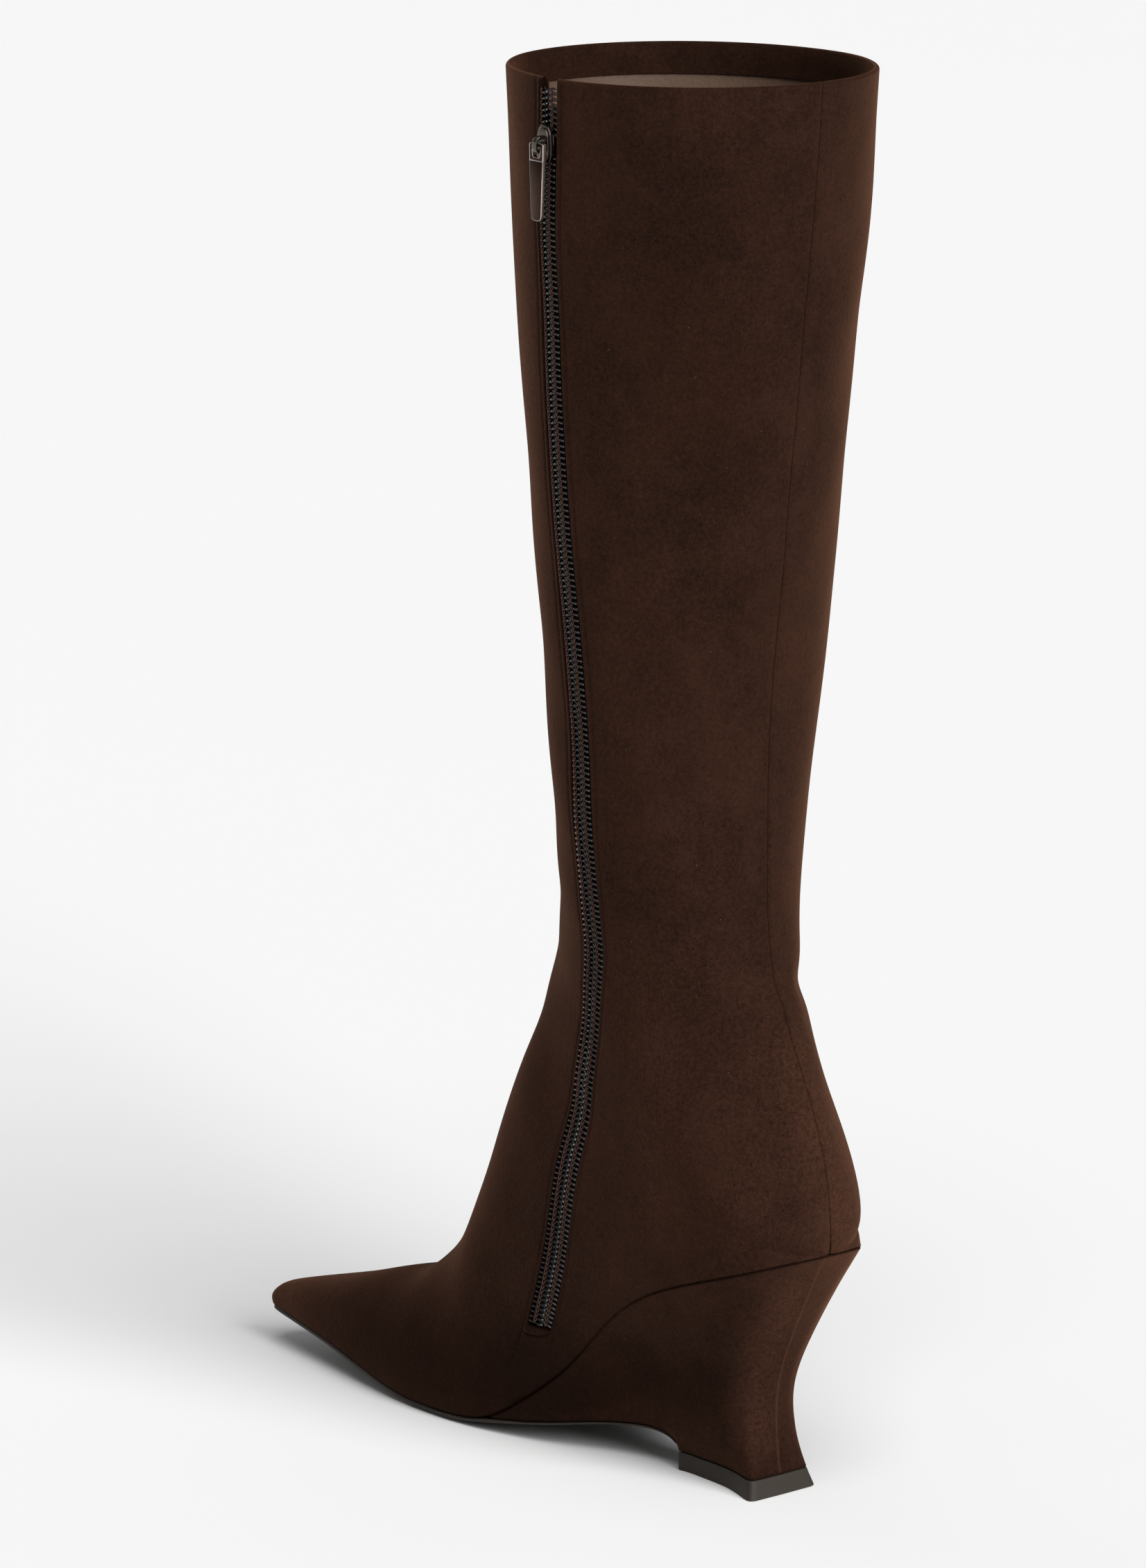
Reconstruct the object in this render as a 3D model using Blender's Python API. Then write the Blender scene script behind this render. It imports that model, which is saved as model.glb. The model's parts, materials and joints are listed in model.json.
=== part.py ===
"""Right-foot knee-high boot on a covered wedge heel, empty and standing on its sole.

Lengths in the tables are millimetres in the last's own frame: +X is the medial side,
-Y points to the toe, +Z is up, x = 0 is the middle plane of the heel, y = 0 the back
edge of the heel tap and z = 0 the floor. An empty moves everything so that the origin
lies under the middle of the boot.
"""
import math

import bpy
import numpy as np

MM = 0.001
TINY = 1e-6

# ---- driving dimensions, in millimetres ----
WALL = 1.9                # suede and lining together
GAP = 0.3                 # clearance between pieces that touch
OUTSOLE_THICK = 2.4       # rubber sheet under the forefoot
SHANK_THICK = 1.6         # the same sheet, thinned under the arch
INSOLE_THICK = 2.2
TAP_TOP = 5.9             # height of the heel tap
GRADE = 0.95              # the tables are drawn a size large and graded down by this
ORIGIN = (2.4, -107.8)    # middle of the boot in the last's frame

EDGE_LIFT = 0.9           # the sheet's underside curves up this much to its edges
SOLE_INSET = 0.4          # the sheet's edge stands this far inside the upper's
INSOLE_CLEAR = 1.6
INSOLE_FRONT = -231.0     # the insole starts where the toe is wide enough for it
INSOLE_NARROWEST = 6.0
SHEET_COLUMNS = 7
INSOLE_COLUMNS = 5
THIN_FROM = -118.0        # the sheet thins from the ball to the arch between these
THIN_TO = -95.0

# ---- the zip ----
SLOT_HALF = 3.9           # half the opening that the zip fills
SLOT_LOWER = 2.0          # the opening starts this far below the arch section
CHAIN_HALF = 3.1
CHAIN_THICK = 1.6
CHAIN_SUNK = 0.2          # the chain's face lies this far below the suede's
CHAIN_SHY = 1.0           # the chain stops short of the slot's lower end
TAPE_HALF = 11.0
TAPE_THICK = 0.9
TAPE_CLEAR = 0.9
TAPE_OVERRUN = 9.0        # the tape reaches this far below the slot
TAPE_SHY = 3.0            # and stops this far under the collar
SLIDER_BELOW = 20.0       # middle of the slider, below the collar
SLIDER_LENGTH = 11.5
SLIDER_HALF = 3.6
SLIDER_LOW = 0.1          # faces of the slider's plate above the suede's surface
SLIDER_TOP = 2.1
SLIDER_NOSE = 2.9         # half widths of its lower and upper ends
SLIDER_TAIL = 2.0
SLIDER_NECK = 2.5         # lengths of the chamfers at those ends
SLIDER_SHOULDER = 1.5
BRIDGE_GAP = 2.2          # clear height under the slider's bridge
BRIDGE_THICK = 1.0
BRIDGE_HALF = 1.0
BRIDGE_REACH = 2.6        # half length of the bridge, outside and inside
BRIDGE_INSIDE = 1.6
BRIDGE_BEVEL = 0.7
BRIDGE_SUNK = 0.2
PULL_LENGTH = 23.5
PULL_THICK = 1.2
PULL_TOP_HALF = 2.7
PULL_END_HALF = 1.8
CROSSBAR_HALF = 0.55
END_STEPS = 6             # facets of the pull's rounded end
EYE_HALF = 1.4            # half width of the eye that the bridge passes through
EYE_END = -3.8            # lower end of the eye, below the hinge

# ---- the sections of the upper ----
# Each row is a cut through the boot from the lower or back edge to the ridge in front.
# mid is the ridge's own x; foot and wide are half widths at the lower edge and at the
# widest line, medial and lateral; zip is how far the zip's line runs from the ridge,
# measured over the suede; belly is the height of the widest line as a share of the
# section; low and top are the roundness below and above it; tuck is how evenly the wall
# draws in below it.
COLUMNS = ("back_y", "back_z", "front_y", "front_z", "mid", "foot_m", "foot_l",
           "wide_m", "wide_l", "zip", "belly", "low", "top", "tuck")
LENGTHS = 10              # the columns before belly are lengths, the others are ratios
ON_SOLE = math.nan
SECTIONS = {
    "toe edge":     (-246.0, ON_SOLE, -246.0, 12.6, 10.5, 4.6, 5.0, 4.6, 5.0, 2.8, 0.45, 1.0, 2.0, 2.1),
    "toe face":     (-245.8, ON_SOLE, -246.4, 17.2, 10.5, 5.4, 6.2, 5.6, 6.4, 3.8, 0.45, 1.0, 2.4, 2.1),
    "toe corner":   (-244.4, ON_SOLE, -244.0, 20.6, 10.5, 6.4, 7.6, 6.8, 8.0, 5.7, 0.42, 1.0, 2.5, 2.1),
    "toe top":      (-240.0, ON_SOLE, -238.6, 23.0, 10.3, 7.7, 9.4, 8.3, 10.0, 7.6, 0.40, 1.0, 2.4, 2.1),
    "toe":          (-226.0, ON_SOLE, -224.0, 27.0, 9.4, 11.2, 15.0, 12.2, 16.0, 15.8, 0.38, 1.0, 2.2, 2.1),
    "toes":         (-206.0, ON_SOLE, -203.0, 33.4, 7.6, 16.2, 24.2, 17.6, 25.8, 25.7, 0.36, 1.0, 2.1, 2.1),
    "vamp":         (-184.0, ON_SOLE, -183.0, 39.4, 5.3, 22.0, 33.2, 23.8, 35.2, 37.5, 0.34, 1.0, 2.0, 2.1),
    "ball":         (-160.0, ON_SOLE, -168.0, 44.0, 3.0, 27.0, 39.4, 29.0, 41.6, 49.7, 0.32, 1.0, 2.0, 2.1),
    "lower instep": (-138.0, ON_SOLE, -157.0, 52.0, 1.0, 29.8, 42.0, 32.0, 44.0, 61.8, 0.30, 1.0, 2.0, 2.1),
    "seam start":   (-118.0, ON_SOLE, -146.0, 65.5, 0.0, 29.6, 41.0, 32.4, 42.4, 74.6, 0.30, 1.0, 2.0, 2.0),
    "instep":       (-100.0, 14.5, -136.8, 83.0, 0.0, 27.4, 36.8, 31.4, 38.4, 88.5, 0.38, 1.1, 2.1, 2.0),
    "arch":         (-76.0, 32.0, -130.2, 101.0, 0.0, 27.0, 32.6, 31.6, 35.4, 86.0, 0.44, 1.2, 2.1, 1.9),
    "high instep":  (-50.0, 56.0, -123.0, 119.0, 0.0, 28.4, 30.4, 32.0, 33.4, 77.8, 0.48, 1.3, 2.1, 1.9),
    "heel seat":    (-20.0, 71.5, -115.0, 136.0, 0.0, 30.4, 30.8, 32.6, 33.0, 69.6, 0.48, 1.5, 2.1, 1.9),
    "heel":         (5.0, 80.0, -108.5, 151.0, 0.0, 26.2, 26.4, 32.6, 32.8, 64.2, 0.44, 1.8, 2.1, 2.0),
    "heel back":    (16.6, 84.0, -106.5, 160.0, 0.0, 17.2, 17.3, 33.2, 33.4, 62.2, 0.42, 2.3, 2.1, 2.0),
    "heel end":     (20.1, 85.2, -105.2, 164.2, 0.0, 8.8, 8.8, 33.4, 33.4, 61.5, 0.41, 2.5, 2.1, 2.0),
    "seam end":     (21.1, 85.6, -104.2, 167.5, 0.0, 0.0, 0.0, 33.4, 33.4, 61.2, 0.41, 2.6, 2.1, 2.0),
    "counter":      (21.0, 101.0, -101.2, 177.0, 0.0, 0.0, 0.0, 32.8, 32.8, 60.1, 0.47, 2.50, 2.1, 1.9),
    "counter top":  (17.0, 119.0, -98.8, 187.0, 0.0, 0.0, 0.0, 32.2, 32.2, 60.1, 0.56, 2.10, 2.1, 1.7),
    "ankle":        (9.0, 139.0, -96.2, 197.0, 0.0, 0.0, 0.0, 33.0, 33.0, 61.3, 0.60, 1.80, 2.1, 1.6),
    "ankle top":    (-1.5, 160.0, -95.2, 209.0, 0.0, 0.0, 0.0, 35.2, 35.2, 63.1, 0.58, 1.75, 2.1, 1.8),
    "narrow":       (-8.8, 184.0, -94.4, 224.0, 0.0, 0.0, 0.0, 38.0, 38.0, 64.4, 0.54, 1.75, 2.0, 2.0),
    "lower shaft":  (-10.3, 214.0, -93.8, 240.0, 0.0, 0.0, 0.0, 41.2, 41.2, 65.5, 0.52, 1.9, 2.0, 2.1),
    "shaft":        (-8.8, 256.0, -94.0, 268.0, 0.0, 0.0, 0.0, 45.6, 45.6, 70.0, 0.50, 2.0, 2.0, 2.1),
    "mid shaft":    (-3.6, 304.0, -97.0, 308.0, 0.0, 0.0, 0.0, 49.8, 49.8, 74.3, 0.50, 2.0, 2.0, 2.1),
    "calf":         (2.6, 360.0, -102.0, 360.0, 0.0, 0.0, 0.0, 52.8, 52.8, 78.5, 0.50, 2.0, 2.0, 2.1),
    "upper calf":   (9.4, 414.0, -106.2, 414.0, 0.0, 0.0, 0.0, 55.8, 55.8, 83.7, 0.50, 2.0, 2.0, 2.1),
    "collar":       (13.8, 464.0, -109.2, 464.0, 0.0, 0.0, 0.0, 57.6, 57.6, 90.5, 0.50, 2.0, 2.0, 2.1),
}
FIRST_CLOSED = "seam end"

# Height of the underside of the sole sheet, from the sprung toe to the arch (y, z).
SOLE_LINE = ((-248.0, 11.6), (-235.0, 10.6), (-212.0, 8.3), (-192.0, 5.3), (-174.0, 2.4),
             (-160.0, 0.4), (-150.0, -0.1), (-140.0, -0.1), (-130.0, 0.4), (-118.0, 2.0),
             (-104.0, 4.2), (-88.0, 6.9), (-72.0, 9.7), (-60.0, 11.1), (-52.0, 11.2),
             (-46.5, 9.6), (-43.0, 7.2))

# ---- the wedge: each row is a line of its wall, from the seam down to its lower edge ----
# The waist is where the wall is drawn in most, at WAIST_SHARE of its height.
WEDGE_COLUMNS = ("top_y", "waist_y", "waist_m", "waist_l", "bottom_y", "bottom_m", "bottom_l")
WEDGE = {
    "front":        (-114.0, -114.0, 28.6, 39.8, -114.0, 28.6, 39.8),
    "arch front":   (-100.0, -100.6, 26.2, 35.4, -101.0, 26.4, 35.6),
    "arch":         (-82.0, -83.8, 22.6, 29.4, -85.0, 22.6, 29.6),
    "waist":        (-66.0, -69.4, 18.6, 23.2, -71.0, 17.6, 23.0),
    "low waist":    (-52.0, -56.4, 16.2, 18.8, -58.0, 13.4, 17.0),
    "breast":       (-41.0, -47.2, 15.2, 16.6, -49.0, 10.6, 12.0),
    "sheet end":    (-31.5, -40.0, 14.8, 15.6, -43.1, 8.7, 8.9),
    "tap front":    (-31.0, -39.5, 14.8, 15.6, -42.5, 8.6, 8.8),
    "tap side":     (-17.0, -28.5, 14.8, 15.2, -31.0, 8.3, 8.5),
    "tap flare":    (-3.0, -18.0, 14.2, 14.4, -17.0, 9.2, 9.4),
    "tap corner":   (7.0, -10.4, 11.8, 11.8, -7.0, 11.8, 11.8),
    "corner":       (12.0, -7.0, 8.8, 8.8, -3.0, 12.4, 12.4),
    "back corner":  (15.4, -5.6, 6.0, 6.0, -1.9, 10.8, 10.8),
    "back quarter": (19.2, -4.8, 2.9, 2.9, -1.7, 6.0, 6.0),
    "back":         (21.1, -4.6, 0.0, 0.0, -1.6, 0.0, 0.0),
}
WAIST_SHARE = 0.35
WEDGE_LEVELS = 9
LEAST_LINE_GAP = 1.0
ABOVE_WAIST = 1.25        # how the wall opens above the waist, and below it
BELOW_WAIST = 2.0
TAP_FRONT = -40.7         # front face of the heel tap
TAP_FLARE_BACK = 1.6      # how much further back and sideways the tap's foot reaches
TAP_FLARE_SIDE = 1.8
TAP_HALF = 9.0            # half width at which the sideways flare is full
TAP_EDGE = 0.5            # the flare's foot is rounded over this height
TAP_FLARE_GROWTH = 1.8    # how late along its length the flare begins


def spline(knots, values):
    """Natural cubic spline through values at knots; values may have several columns."""
    x = np.asarray(knots, float)
    y = np.asarray(values, float)
    h = np.diff(x)
    slopes = np.diff(y, axis=0) / h.reshape(-1, *([1] * (y.ndim - 1)))
    system = np.eye(len(x))
    rhs = np.zeros_like(y)
    for i in range(1, len(x) - 1):
        system[i, i - 1:i + 2] = h[i - 1], 2 * (h[i - 1] + h[i]), h[i]
        rhs[i] = 6 * (slopes[i] - slopes[i - 1])
    curve = np.linalg.solve(system, rhs)

    def value(at):
        at = np.asarray(at, float)
        i = np.clip(np.searchsorted(x, at) - 1, 0, len(h) - 1)
        shape = at.shape + (1,) * (y.ndim - 1)
        right = ((at - x[i]) / h[i]).reshape(shape)
        left = 1 - right
        step = (h[i] ** 2 / 6).reshape(shape)
        return (left * y[i] + right * y[i + 1]
                + step * ((left ** 3 - left) * curve[i] + (right ** 3 - right) * curve[i + 1]))
    return value


sole_curve = spline(*(np.array(SOLE_LINE) * GRADE).T)


def sole_height(y):
    """Underside of the sole sheet, flat on the floor where the curve would dip below it."""
    return np.maximum(sole_curve(y), 0.0)


def section_table():
    """The rows of SECTIONS with their lower edges set on the sole, and their knots."""
    table = np.array(list(SECTIONS.values()), float)
    table[:, :LENGTHS] *= GRADE
    on_sole = np.isnan(table[:, 1])
    table[on_sole, 1] = sole_height(table[on_sole, 0]) + OUTSOLE_THICK + GAP
    table[0, 3] = table[0, 1]
    back = np.hypot(*np.diff(table[:, 0:2], axis=0).T)
    front = np.hypot(*np.diff(table[:, 2:4], axis=0).T)
    return np.concatenate([[0], np.cumsum((back + front) / 2)]), table


KNOTS, TABLE = section_table()
table_at = spline(KNOTS, TABLE)
KNOT_OF = dict(zip(SECTIONS, KNOTS))
CLOSED_AT = KNOT_OF[FIRST_CLOSED] - TINY


def half_section(share, foot, wide, belly, low, top, tuck):
    """Half width of a section at shares of its height, 0 at the lower edge, 1 at the ridge."""
    start = (1 - (foot / wide) ** low) ** (1 / tuck)
    below = start * np.clip(1 - share / belly, 0, 1)
    above = np.clip((share - belly) / (1 - belly), 0, 1)
    lower = (1 - below ** tuck) ** (1 / low)
    upper = (1 - above ** top) ** (1 / top)
    return wide * np.where(share < belly, lower, upper)


def section_side(at, side, count=160):
    """Points of one half of the section at a knot, from its lower edge to the ridge."""
    row = dict(zip(COLUMNS, table_at(at)))
    closed = at >= CLOSED_AT
    foot = 0.0 if closed else max(row["foot_m" if side > 0 else "foot_l"], 0.0)
    wide = row["wide_m" if side > 0 else "wide_l"]
    turn = np.linspace(0, math.pi / 2, count)
    lower = row["belly"] * (1 - np.cos(turn))
    upper = row["belly"] + (1 - row["belly"]) * np.sin(turn)
    share = np.concatenate([lower, upper[1:]])
    out = half_section(share, foot, wide, row["belly"], row["low"], row["top"], row["tuck"])
    y = row["back_y"] + share * (row["front_y"] - row["back_y"])
    z = row["back_z"] + share * (row["front_z"] - row["back_z"])
    return np.stack([row["mid"] + side * out, y, z], axis=1)


def along(points, shares):
    """Points at shares of the length of a polyline."""
    length = np.concatenate([[0], np.cumsum(np.linalg.norm(np.diff(points, axis=0), axis=1))])
    at = np.asarray(shares) * length[-1]
    return np.stack([np.interp(at, length, points[:, k]) for k in range(3)], axis=1)


# ---- the upper's surface ----

EDGE_COLUMNS = 7          # quads from the medial lower edge to the zip
RIDGE_COLUMNS = 9         # from the zip to the ridge
LATERAL_COLUMNS = 14      # from the ridge to the lateral lower edge
NARROWEST_SLOT = 0.12     # most that the slot's column may take of half a section
ROW_STEP = 10.5           # spacing of the rows, about
ZIP_START = KNOT_OF["arch"] - SLOT_LOWER


def row_knots():
    """Knots of the mesh rows: every section of the table, the slot's end, and rows between."""
    marks = sorted([*KNOTS, ZIP_START])
    rows = []
    for low, high in zip(marks, marks[1:]):
        steps = max(1, round((high - low) / ROW_STEP))
        rows.extend(np.linspace(low, high, steps, endpoint=False))
    return np.array([*rows, marks[-1]])


def girth(points):
    return np.linalg.norm(np.diff(points, axis=0), axis=1).sum()


def zip_share(at, offset=0.0):
    """The zip's place on the medial half, from 0 at the lower edge to 1 at the ridge.

    The offset is measured over the suede, towards the ridge.
    """
    from_ridge = float(table_at(at)[COLUMNS.index("zip")]) - offset
    return 1 - from_ridge / girth(section_side(at, 1))


def zip_point(at, offset=0.0):
    """Point of the outer surface at the zip, offset in millimetres towards the ridge."""
    return along(section_side(at, 1), [zip_share(at, offset)])[0]


def unit(vector):
    return vector / np.linalg.norm(vector)


FRAME_STEP = 0.5          # distance over which directions are measured


def zip_frame(at):
    """Centre of the zip on the outer surface, its upward, forward and outward directions."""
    low, high = max(at - FRAME_STEP, 0.0), min(at + FRAME_STEP, KNOTS[-1])
    centre = zip_point(at)
    up = unit(zip_point(high) - zip_point(low))
    across = zip_point(at, FRAME_STEP) - zip_point(at, -FRAME_STEP)
    outward = unit(np.cross(up, across))
    forward = np.cross(outward, up)
    return centre, up, forward, outward


def zip_offset(at, distance):
    """Offset along the section that lies at a distance from the zip's centre line."""
    across = unit(zip_point(at, FRAME_STEP) - zip_point(at, -FRAME_STEP))
    _, _, forward, _ = zip_frame(at)
    return distance / abs(float(across @ forward))


def upper_grid(knots):
    """Outer surface, a row of points for each knot from the medial edge to the lateral."""
    grid = []
    for at in knots:
        medial = section_side(at, 1)
        lateral = section_side(at, -1)
        half = SLOT_HALF
        if at >= ZIP_START - TINY:
            half = zip_offset(at, SLOT_HALF)
        half = min(half, girth(medial) * NARROWEST_SLOT)
        shares = np.concatenate([np.linspace(0, zip_share(at, -half), EDGE_COLUMNS + 1),
                                 np.linspace(zip_share(at, half), 1, RIDGE_COLUMNS + 1)])
        down = np.linspace(1, 0, LATERAL_COLUMNS + 1)[1:]
        grid.append(np.concatenate([along(medial, shares), along(lateral, down)]))
    return np.array(grid)


def grid_normals(grid, closed):
    """Outward normals of the upper's grid; closed marks the rows whose ends meet."""
    across = np.gradient(grid, axis=1)
    wrap = (grid[closed, 1] - grid[closed, -2]) / 2
    across[closed, 0] = wrap
    across[closed, -1] = wrap
    normal = np.cross(np.gradient(grid, axis=0), across)
    return normal / np.linalg.norm(normal, axis=2, keepdims=True)


def edge_line(side):
    """The upper's lower edge on one side, from the toe to the back of the heel."""
    knots = row_knots()
    return np.array([section_side(at, side)[0] for at in knots if at <= CLOSED_AT + 2 * TINY])


EDGES = {side: edge_line(side) for side in (1, -1)}
BED_Y, BED_Z = EDGES[1][:, 1:].T


def bed_height(y):
    """Height of the upper's lower edge, which is the bed that the insole lies on."""
    return np.interp(y, BED_Y, BED_Z)


def feather_edge(y, side):
    """Point of the upper's lower edge at a given y on one side."""
    return np.array([np.interp(y, BED_Y, column) for column in EDGES[side].T])


def inner_grid(outer, knots, closed):
    """The lining side of the wall; its lower edge stays on the bed."""
    normal = grid_normals(outer, closed)
    inner = outer - WALL * normal
    edge = np.zeros(outer.shape[:2], bool)
    edge[0] = True
    edge[~closed, 0] = True
    edge[~closed, -1] = True
    level = normal[edge] * (1, 1, 0)
    level /= np.linalg.norm(level, axis=1, keepdims=True)
    flat = outer[edge] - WALL * level
    flat[:, 2] = bed_height(flat[:, 1])
    inner[edge] = flat
    return inner


# ---- making meshes ----

def make_object(name, points, faces, look, parent, location=(0, 0, 0), smooth=50):
    """One closed mesh object from points in millimetres."""
    mesh = bpy.data.meshes.new(name)
    mesh.from_pydata([tuple(p * MM) for p in np.asarray(points, float)], [], faces)
    mesh.validate()
    mesh.shade_smooth()
    mesh.set_sharp_from_angle(angle=math.radians(smooth))
    mesh.materials.append(look)
    part = bpy.data.objects.new(name, mesh)
    part.location = [v * MM for v in location]
    part.parent = parent
    bpy.context.collection.objects.link(part)
    return part


def shell(front, back, keep=None, weld=None):
    """Points and faces of the closed plate between two grids of the same shape.

    keep marks the quads that exist and weld the rows whose last column is the first.
    """
    rows, columns = front.shape[:2]
    index = np.arange(rows * columns).reshape(rows, columns)
    if weld is not None:
        index[weld, -1] = index[weld, 0]
    quads = []
    for i in range(rows - 1):
        for j in range(columns - 1):
            if keep is not None and not keep[i, j]:
                continue
            ring = [index[i, j], index[i + 1, j], index[i + 1, j + 1], index[i, j + 1]]
            quads.append(tuple(dict.fromkeys(int(k) for k in ring)))
    count = rows * columns
    used = {}
    for quad in quads:
        for a, b in zip(quad, quad[1:] + quad[:1]):
            used[(a, b)] = True
    rims = [(b, a, a + count, b + count) for a, b in used if (b, a) not in used]
    backs = [tuple(k + count for k in reversed(quad)) for quad in quads]
    points = np.concatenate([front.reshape(-1, 3), back.reshape(-1, 3)])
    return drop_unused(points, quads + backs + rims)


def stack(rings):
    """Points and faces of a solid from rings that each run from the medial front to the lateral.

    The ends of a ring are joined straight across, and so are the lowest and highest rings.
    """
    levels, count = rings.shape[:2]
    faces = []
    for k in range(levels - 1):
        for i in range(count):
            j = (i + 1) % count
            faces.append((k * count + i, k * count + j, (k + 1) * count + j, (k + 1) * count + i))
    top = (levels - 1) * count
    for i in range(count // 2):
        a, b = i, i + 1
        c, d = count - 2 - i, count - 1 - i
        ring = tuple(dict.fromkeys((a, b, c, d)))
        if len(ring) > 2:
            faces.append(tuple(reversed(ring)))
            faces.append(tuple(top + k for k in ring))
    return drop_unused(rings.reshape(-1, 3), faces)


def drop_unused(points, faces):
    """The same faces without the points that none of them uses."""
    used = sorted({k for face in faces for k in face})
    place = {k: n for n, k in enumerate(used)}
    return points[used], [tuple(place[k] for k in face) for face in faces]


def material(name, colour, roughness, metallic=0.0):
    """A Principled material in plain colours."""
    look = bpy.data.materials.new(name)
    look.use_nodes = True
    shader = look.node_tree.nodes["Principled BSDF"]
    shader.inputs["Base Color"].default_value = (*colour, 1.0)
    shader.inputs["Roughness"].default_value = roughness
    shader.inputs["Metallic"].default_value = metallic
    look.diffuse_color = (*colour, 1.0)
    return look


# ---- the pieces ----

def build_upper(look, parent):
    knots = row_knots()
    closed = knots >= CLOSED_AT
    outer = upper_grid(knots)
    inner = inner_grid(outer, knots, closed)
    keep = np.ones((len(knots) - 1, outer.shape[1] - 1), bool)
    keep[knots[:-1] >= ZIP_START - TINY, EDGE_COLUMNS] = False
    points, faces = shell(outer, inner, keep, closed)
    return make_object("upper", points, faces, look, parent)


def wedge_lines():
    """The wedge's wall lines, as dictionaries: the table's, and one at each row of the upper."""
    rows = np.array(list(WEDGE.values())) * GRADE
    line_at = spline(rows[:, 0], rows)
    starts = list(rows[:, 0])
    starts.extend(y for y in BED_Y if min(abs(y - rows[:, 0])) > LEAST_LINE_GAP and y > starts[0])
    return [dict(zip(WEDGE_COLUMNS, line_at(at))) for at in sorted(starts)]


def wedge_rings(levels):
    """The wedge's wall as rings from its lower edge (share 0) to the seam (share 1)."""
    lines = wedge_lines()
    top, waist, bottom = [], [], []
    for side, letter, half in ((1, "m", lines), (-1, "l", lines[-2::-1])):
        for line in half:
            top.append(feather_edge(line["top_y"], side) - (0, 0, GAP))
            y = line["bottom_y"]
            on_sheet = float(sole_height(y)) + sheet_thickness(y)
            low = (on_sheet if y < TAP_FRONT else TAP_TOP) + GAP
            bottom.append((side * line["bottom_" + letter], y, low))
            waist.append((side * line["waist_" + letter], line["waist_y"], 0.0))
    top, waist, bottom = np.array(top), np.array(waist), np.array(bottom)
    top[len(lines) - 1, 0] = 0.0
    rings = []
    for share in levels:
        if share > WAIST_SHARE:
            end, away = top, ((share - WAIST_SHARE) / (1 - WAIST_SHARE)) ** ABOVE_WAIST
        else:
            end, away = bottom, (1 - share / WAIST_SHARE) ** BELOW_WAIST
        ring = waist + away * (end - waist)
        ring[:, 2] = bottom[:, 2] + share * (top[:, 2] - bottom[:, 2])
        rings.append(ring)
    return np.array(rings)


def sheet_thickness(y):
    """The sole sheet thins from the ball to the arch."""
    return np.interp(y, (THIN_FROM, THIN_TO), (OUTSOLE_THICK, SHANK_THICK))


def build_wedge(look, parent):
    points, faces = stack(wedge_rings(np.linspace(0, 1, WEDGE_LEVELS)))
    return make_object("wedge_heel", points, faces, look, parent)


def sheet_stations():
    """Lines across the sole sheet from the toe to its rear end: y, medial x, lateral x."""
    seat = wedge_rings([0.0])[0]
    start = BED_Y[0] + SOLE_INSET
    stations = [start, *(y for y in BED_Y if start + SOLE_INSET < y < seat[0, 1] - SOLE_INSET)]
    lines = [(y, feather_edge(y, 1)[0] - SOLE_INSET, feather_edge(y, -1)[0] + SOLE_INSET)
             for y in stations]
    half = len(seat) // 2
    pairs = zip(seat[:half], seat[::-1][:half])
    lines.extend((medial[1], medial[0], lateral[0]) for medial, lateral in pairs
                 if medial[1] < TAP_FRONT)
    return lines


def build_outsole(look, parent):
    top, bottom = [], []
    for y, medial, lateral in sheet_stations():
        base = float(sole_height(y))
        share = np.linspace(-1, 1, SHEET_COLUMNS)
        x = (medial + lateral) / 2 - share * (medial - lateral) / 2
        level = np.full_like(x, y)
        lift = EDGE_LIFT * np.clip(2 * np.abs(share) - 1, 0, 1)
        bottom.append(np.stack([x, level, base + lift], axis=1))
        face = min(base + sheet_thickness(y), bed_height(y) - GAP)
        top.append(np.stack([x, level, np.full_like(x, face)], axis=1))
    points, faces = shell(np.array(top), np.array(bottom))
    return make_object("outsole", points, faces, look, parent)


def build_tap(look, parent):
    """The heel tap widens towards the floor, most of all at its back."""
    seat = wedge_rings([0.0])[0]
    seat = seat[seat[:, 1] > TAP_FRONT] * (1, 1, 0)
    back = np.interp(seat[:, 1], (seat[0, 1], seat[:, 1].max()), (0.0, 1.0)) ** TAP_FLARE_GROWTH
    side = np.interp(np.abs(seat[:, 0]), (0.0, TAP_HALF), (0.0, 1.0)) * np.sign(seat[:, 0])
    flare = np.stack([TAP_FLARE_SIDE * back * side, TAP_FLARE_BACK * back, 0 * back], axis=1)
    rings = []
    for height, spread in ((0.0, 0.9), (TAP_EDGE, 1.0), (TAP_TOP, 0.0)):
        rings.append(seat + spread * flare + (0, 0, height))
    points, faces = stack(np.array(rings))
    return make_object("heel_tap", points, faces, look, parent, smooth=30)


def build_insole(look, parent):
    """The insole fills the bed inside the wall, from the toe to the back of the heel."""
    knots = row_knots()
    closed = knots >= CLOSED_AT
    outer = upper_grid(knots)
    level = grid_normals(outer, closed) * (1, 1, 0)
    level /= np.linalg.norm(level, axis=2, keepdims=True)
    inset = outer - (WALL + INSOLE_CLEAR) * level
    fits = ~closed & (outer[:, 0, 1] > INSOLE_FRONT) & (inset[:, 0, 0] - inset[:, -1, 0] > INSOLE_NARROWEST)
    across = np.linspace(0, 1, INSOLE_COLUMNS)[None, :, None]
    bed = inset[fits, :1] * (1 - across) + inset[fits, -1:] * across
    bed[:, :, 2] = bed_height(bed[:, :, 1])
    points, faces = shell(bed + (0, 0, INSOLE_THICK), bed)
    return make_object("insole", points, faces, look, parent)


def strip_grid(knots, offsets, depth):
    """A strip along the zip, at offsets from its centre line and a depth under the suede."""
    grid = []
    for at in knots:
        row = [zip_point(at, zip_offset(at, float(offset)) if offset else 0.0) for offset in offsets]
        grid.append(row)
    grid = np.array(grid)
    normal = np.cross(np.gradient(grid, axis=0), np.gradient(grid, axis=1))
    normal /= np.linalg.norm(normal, axis=2, keepdims=True)
    return grid - depth * normal


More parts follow.
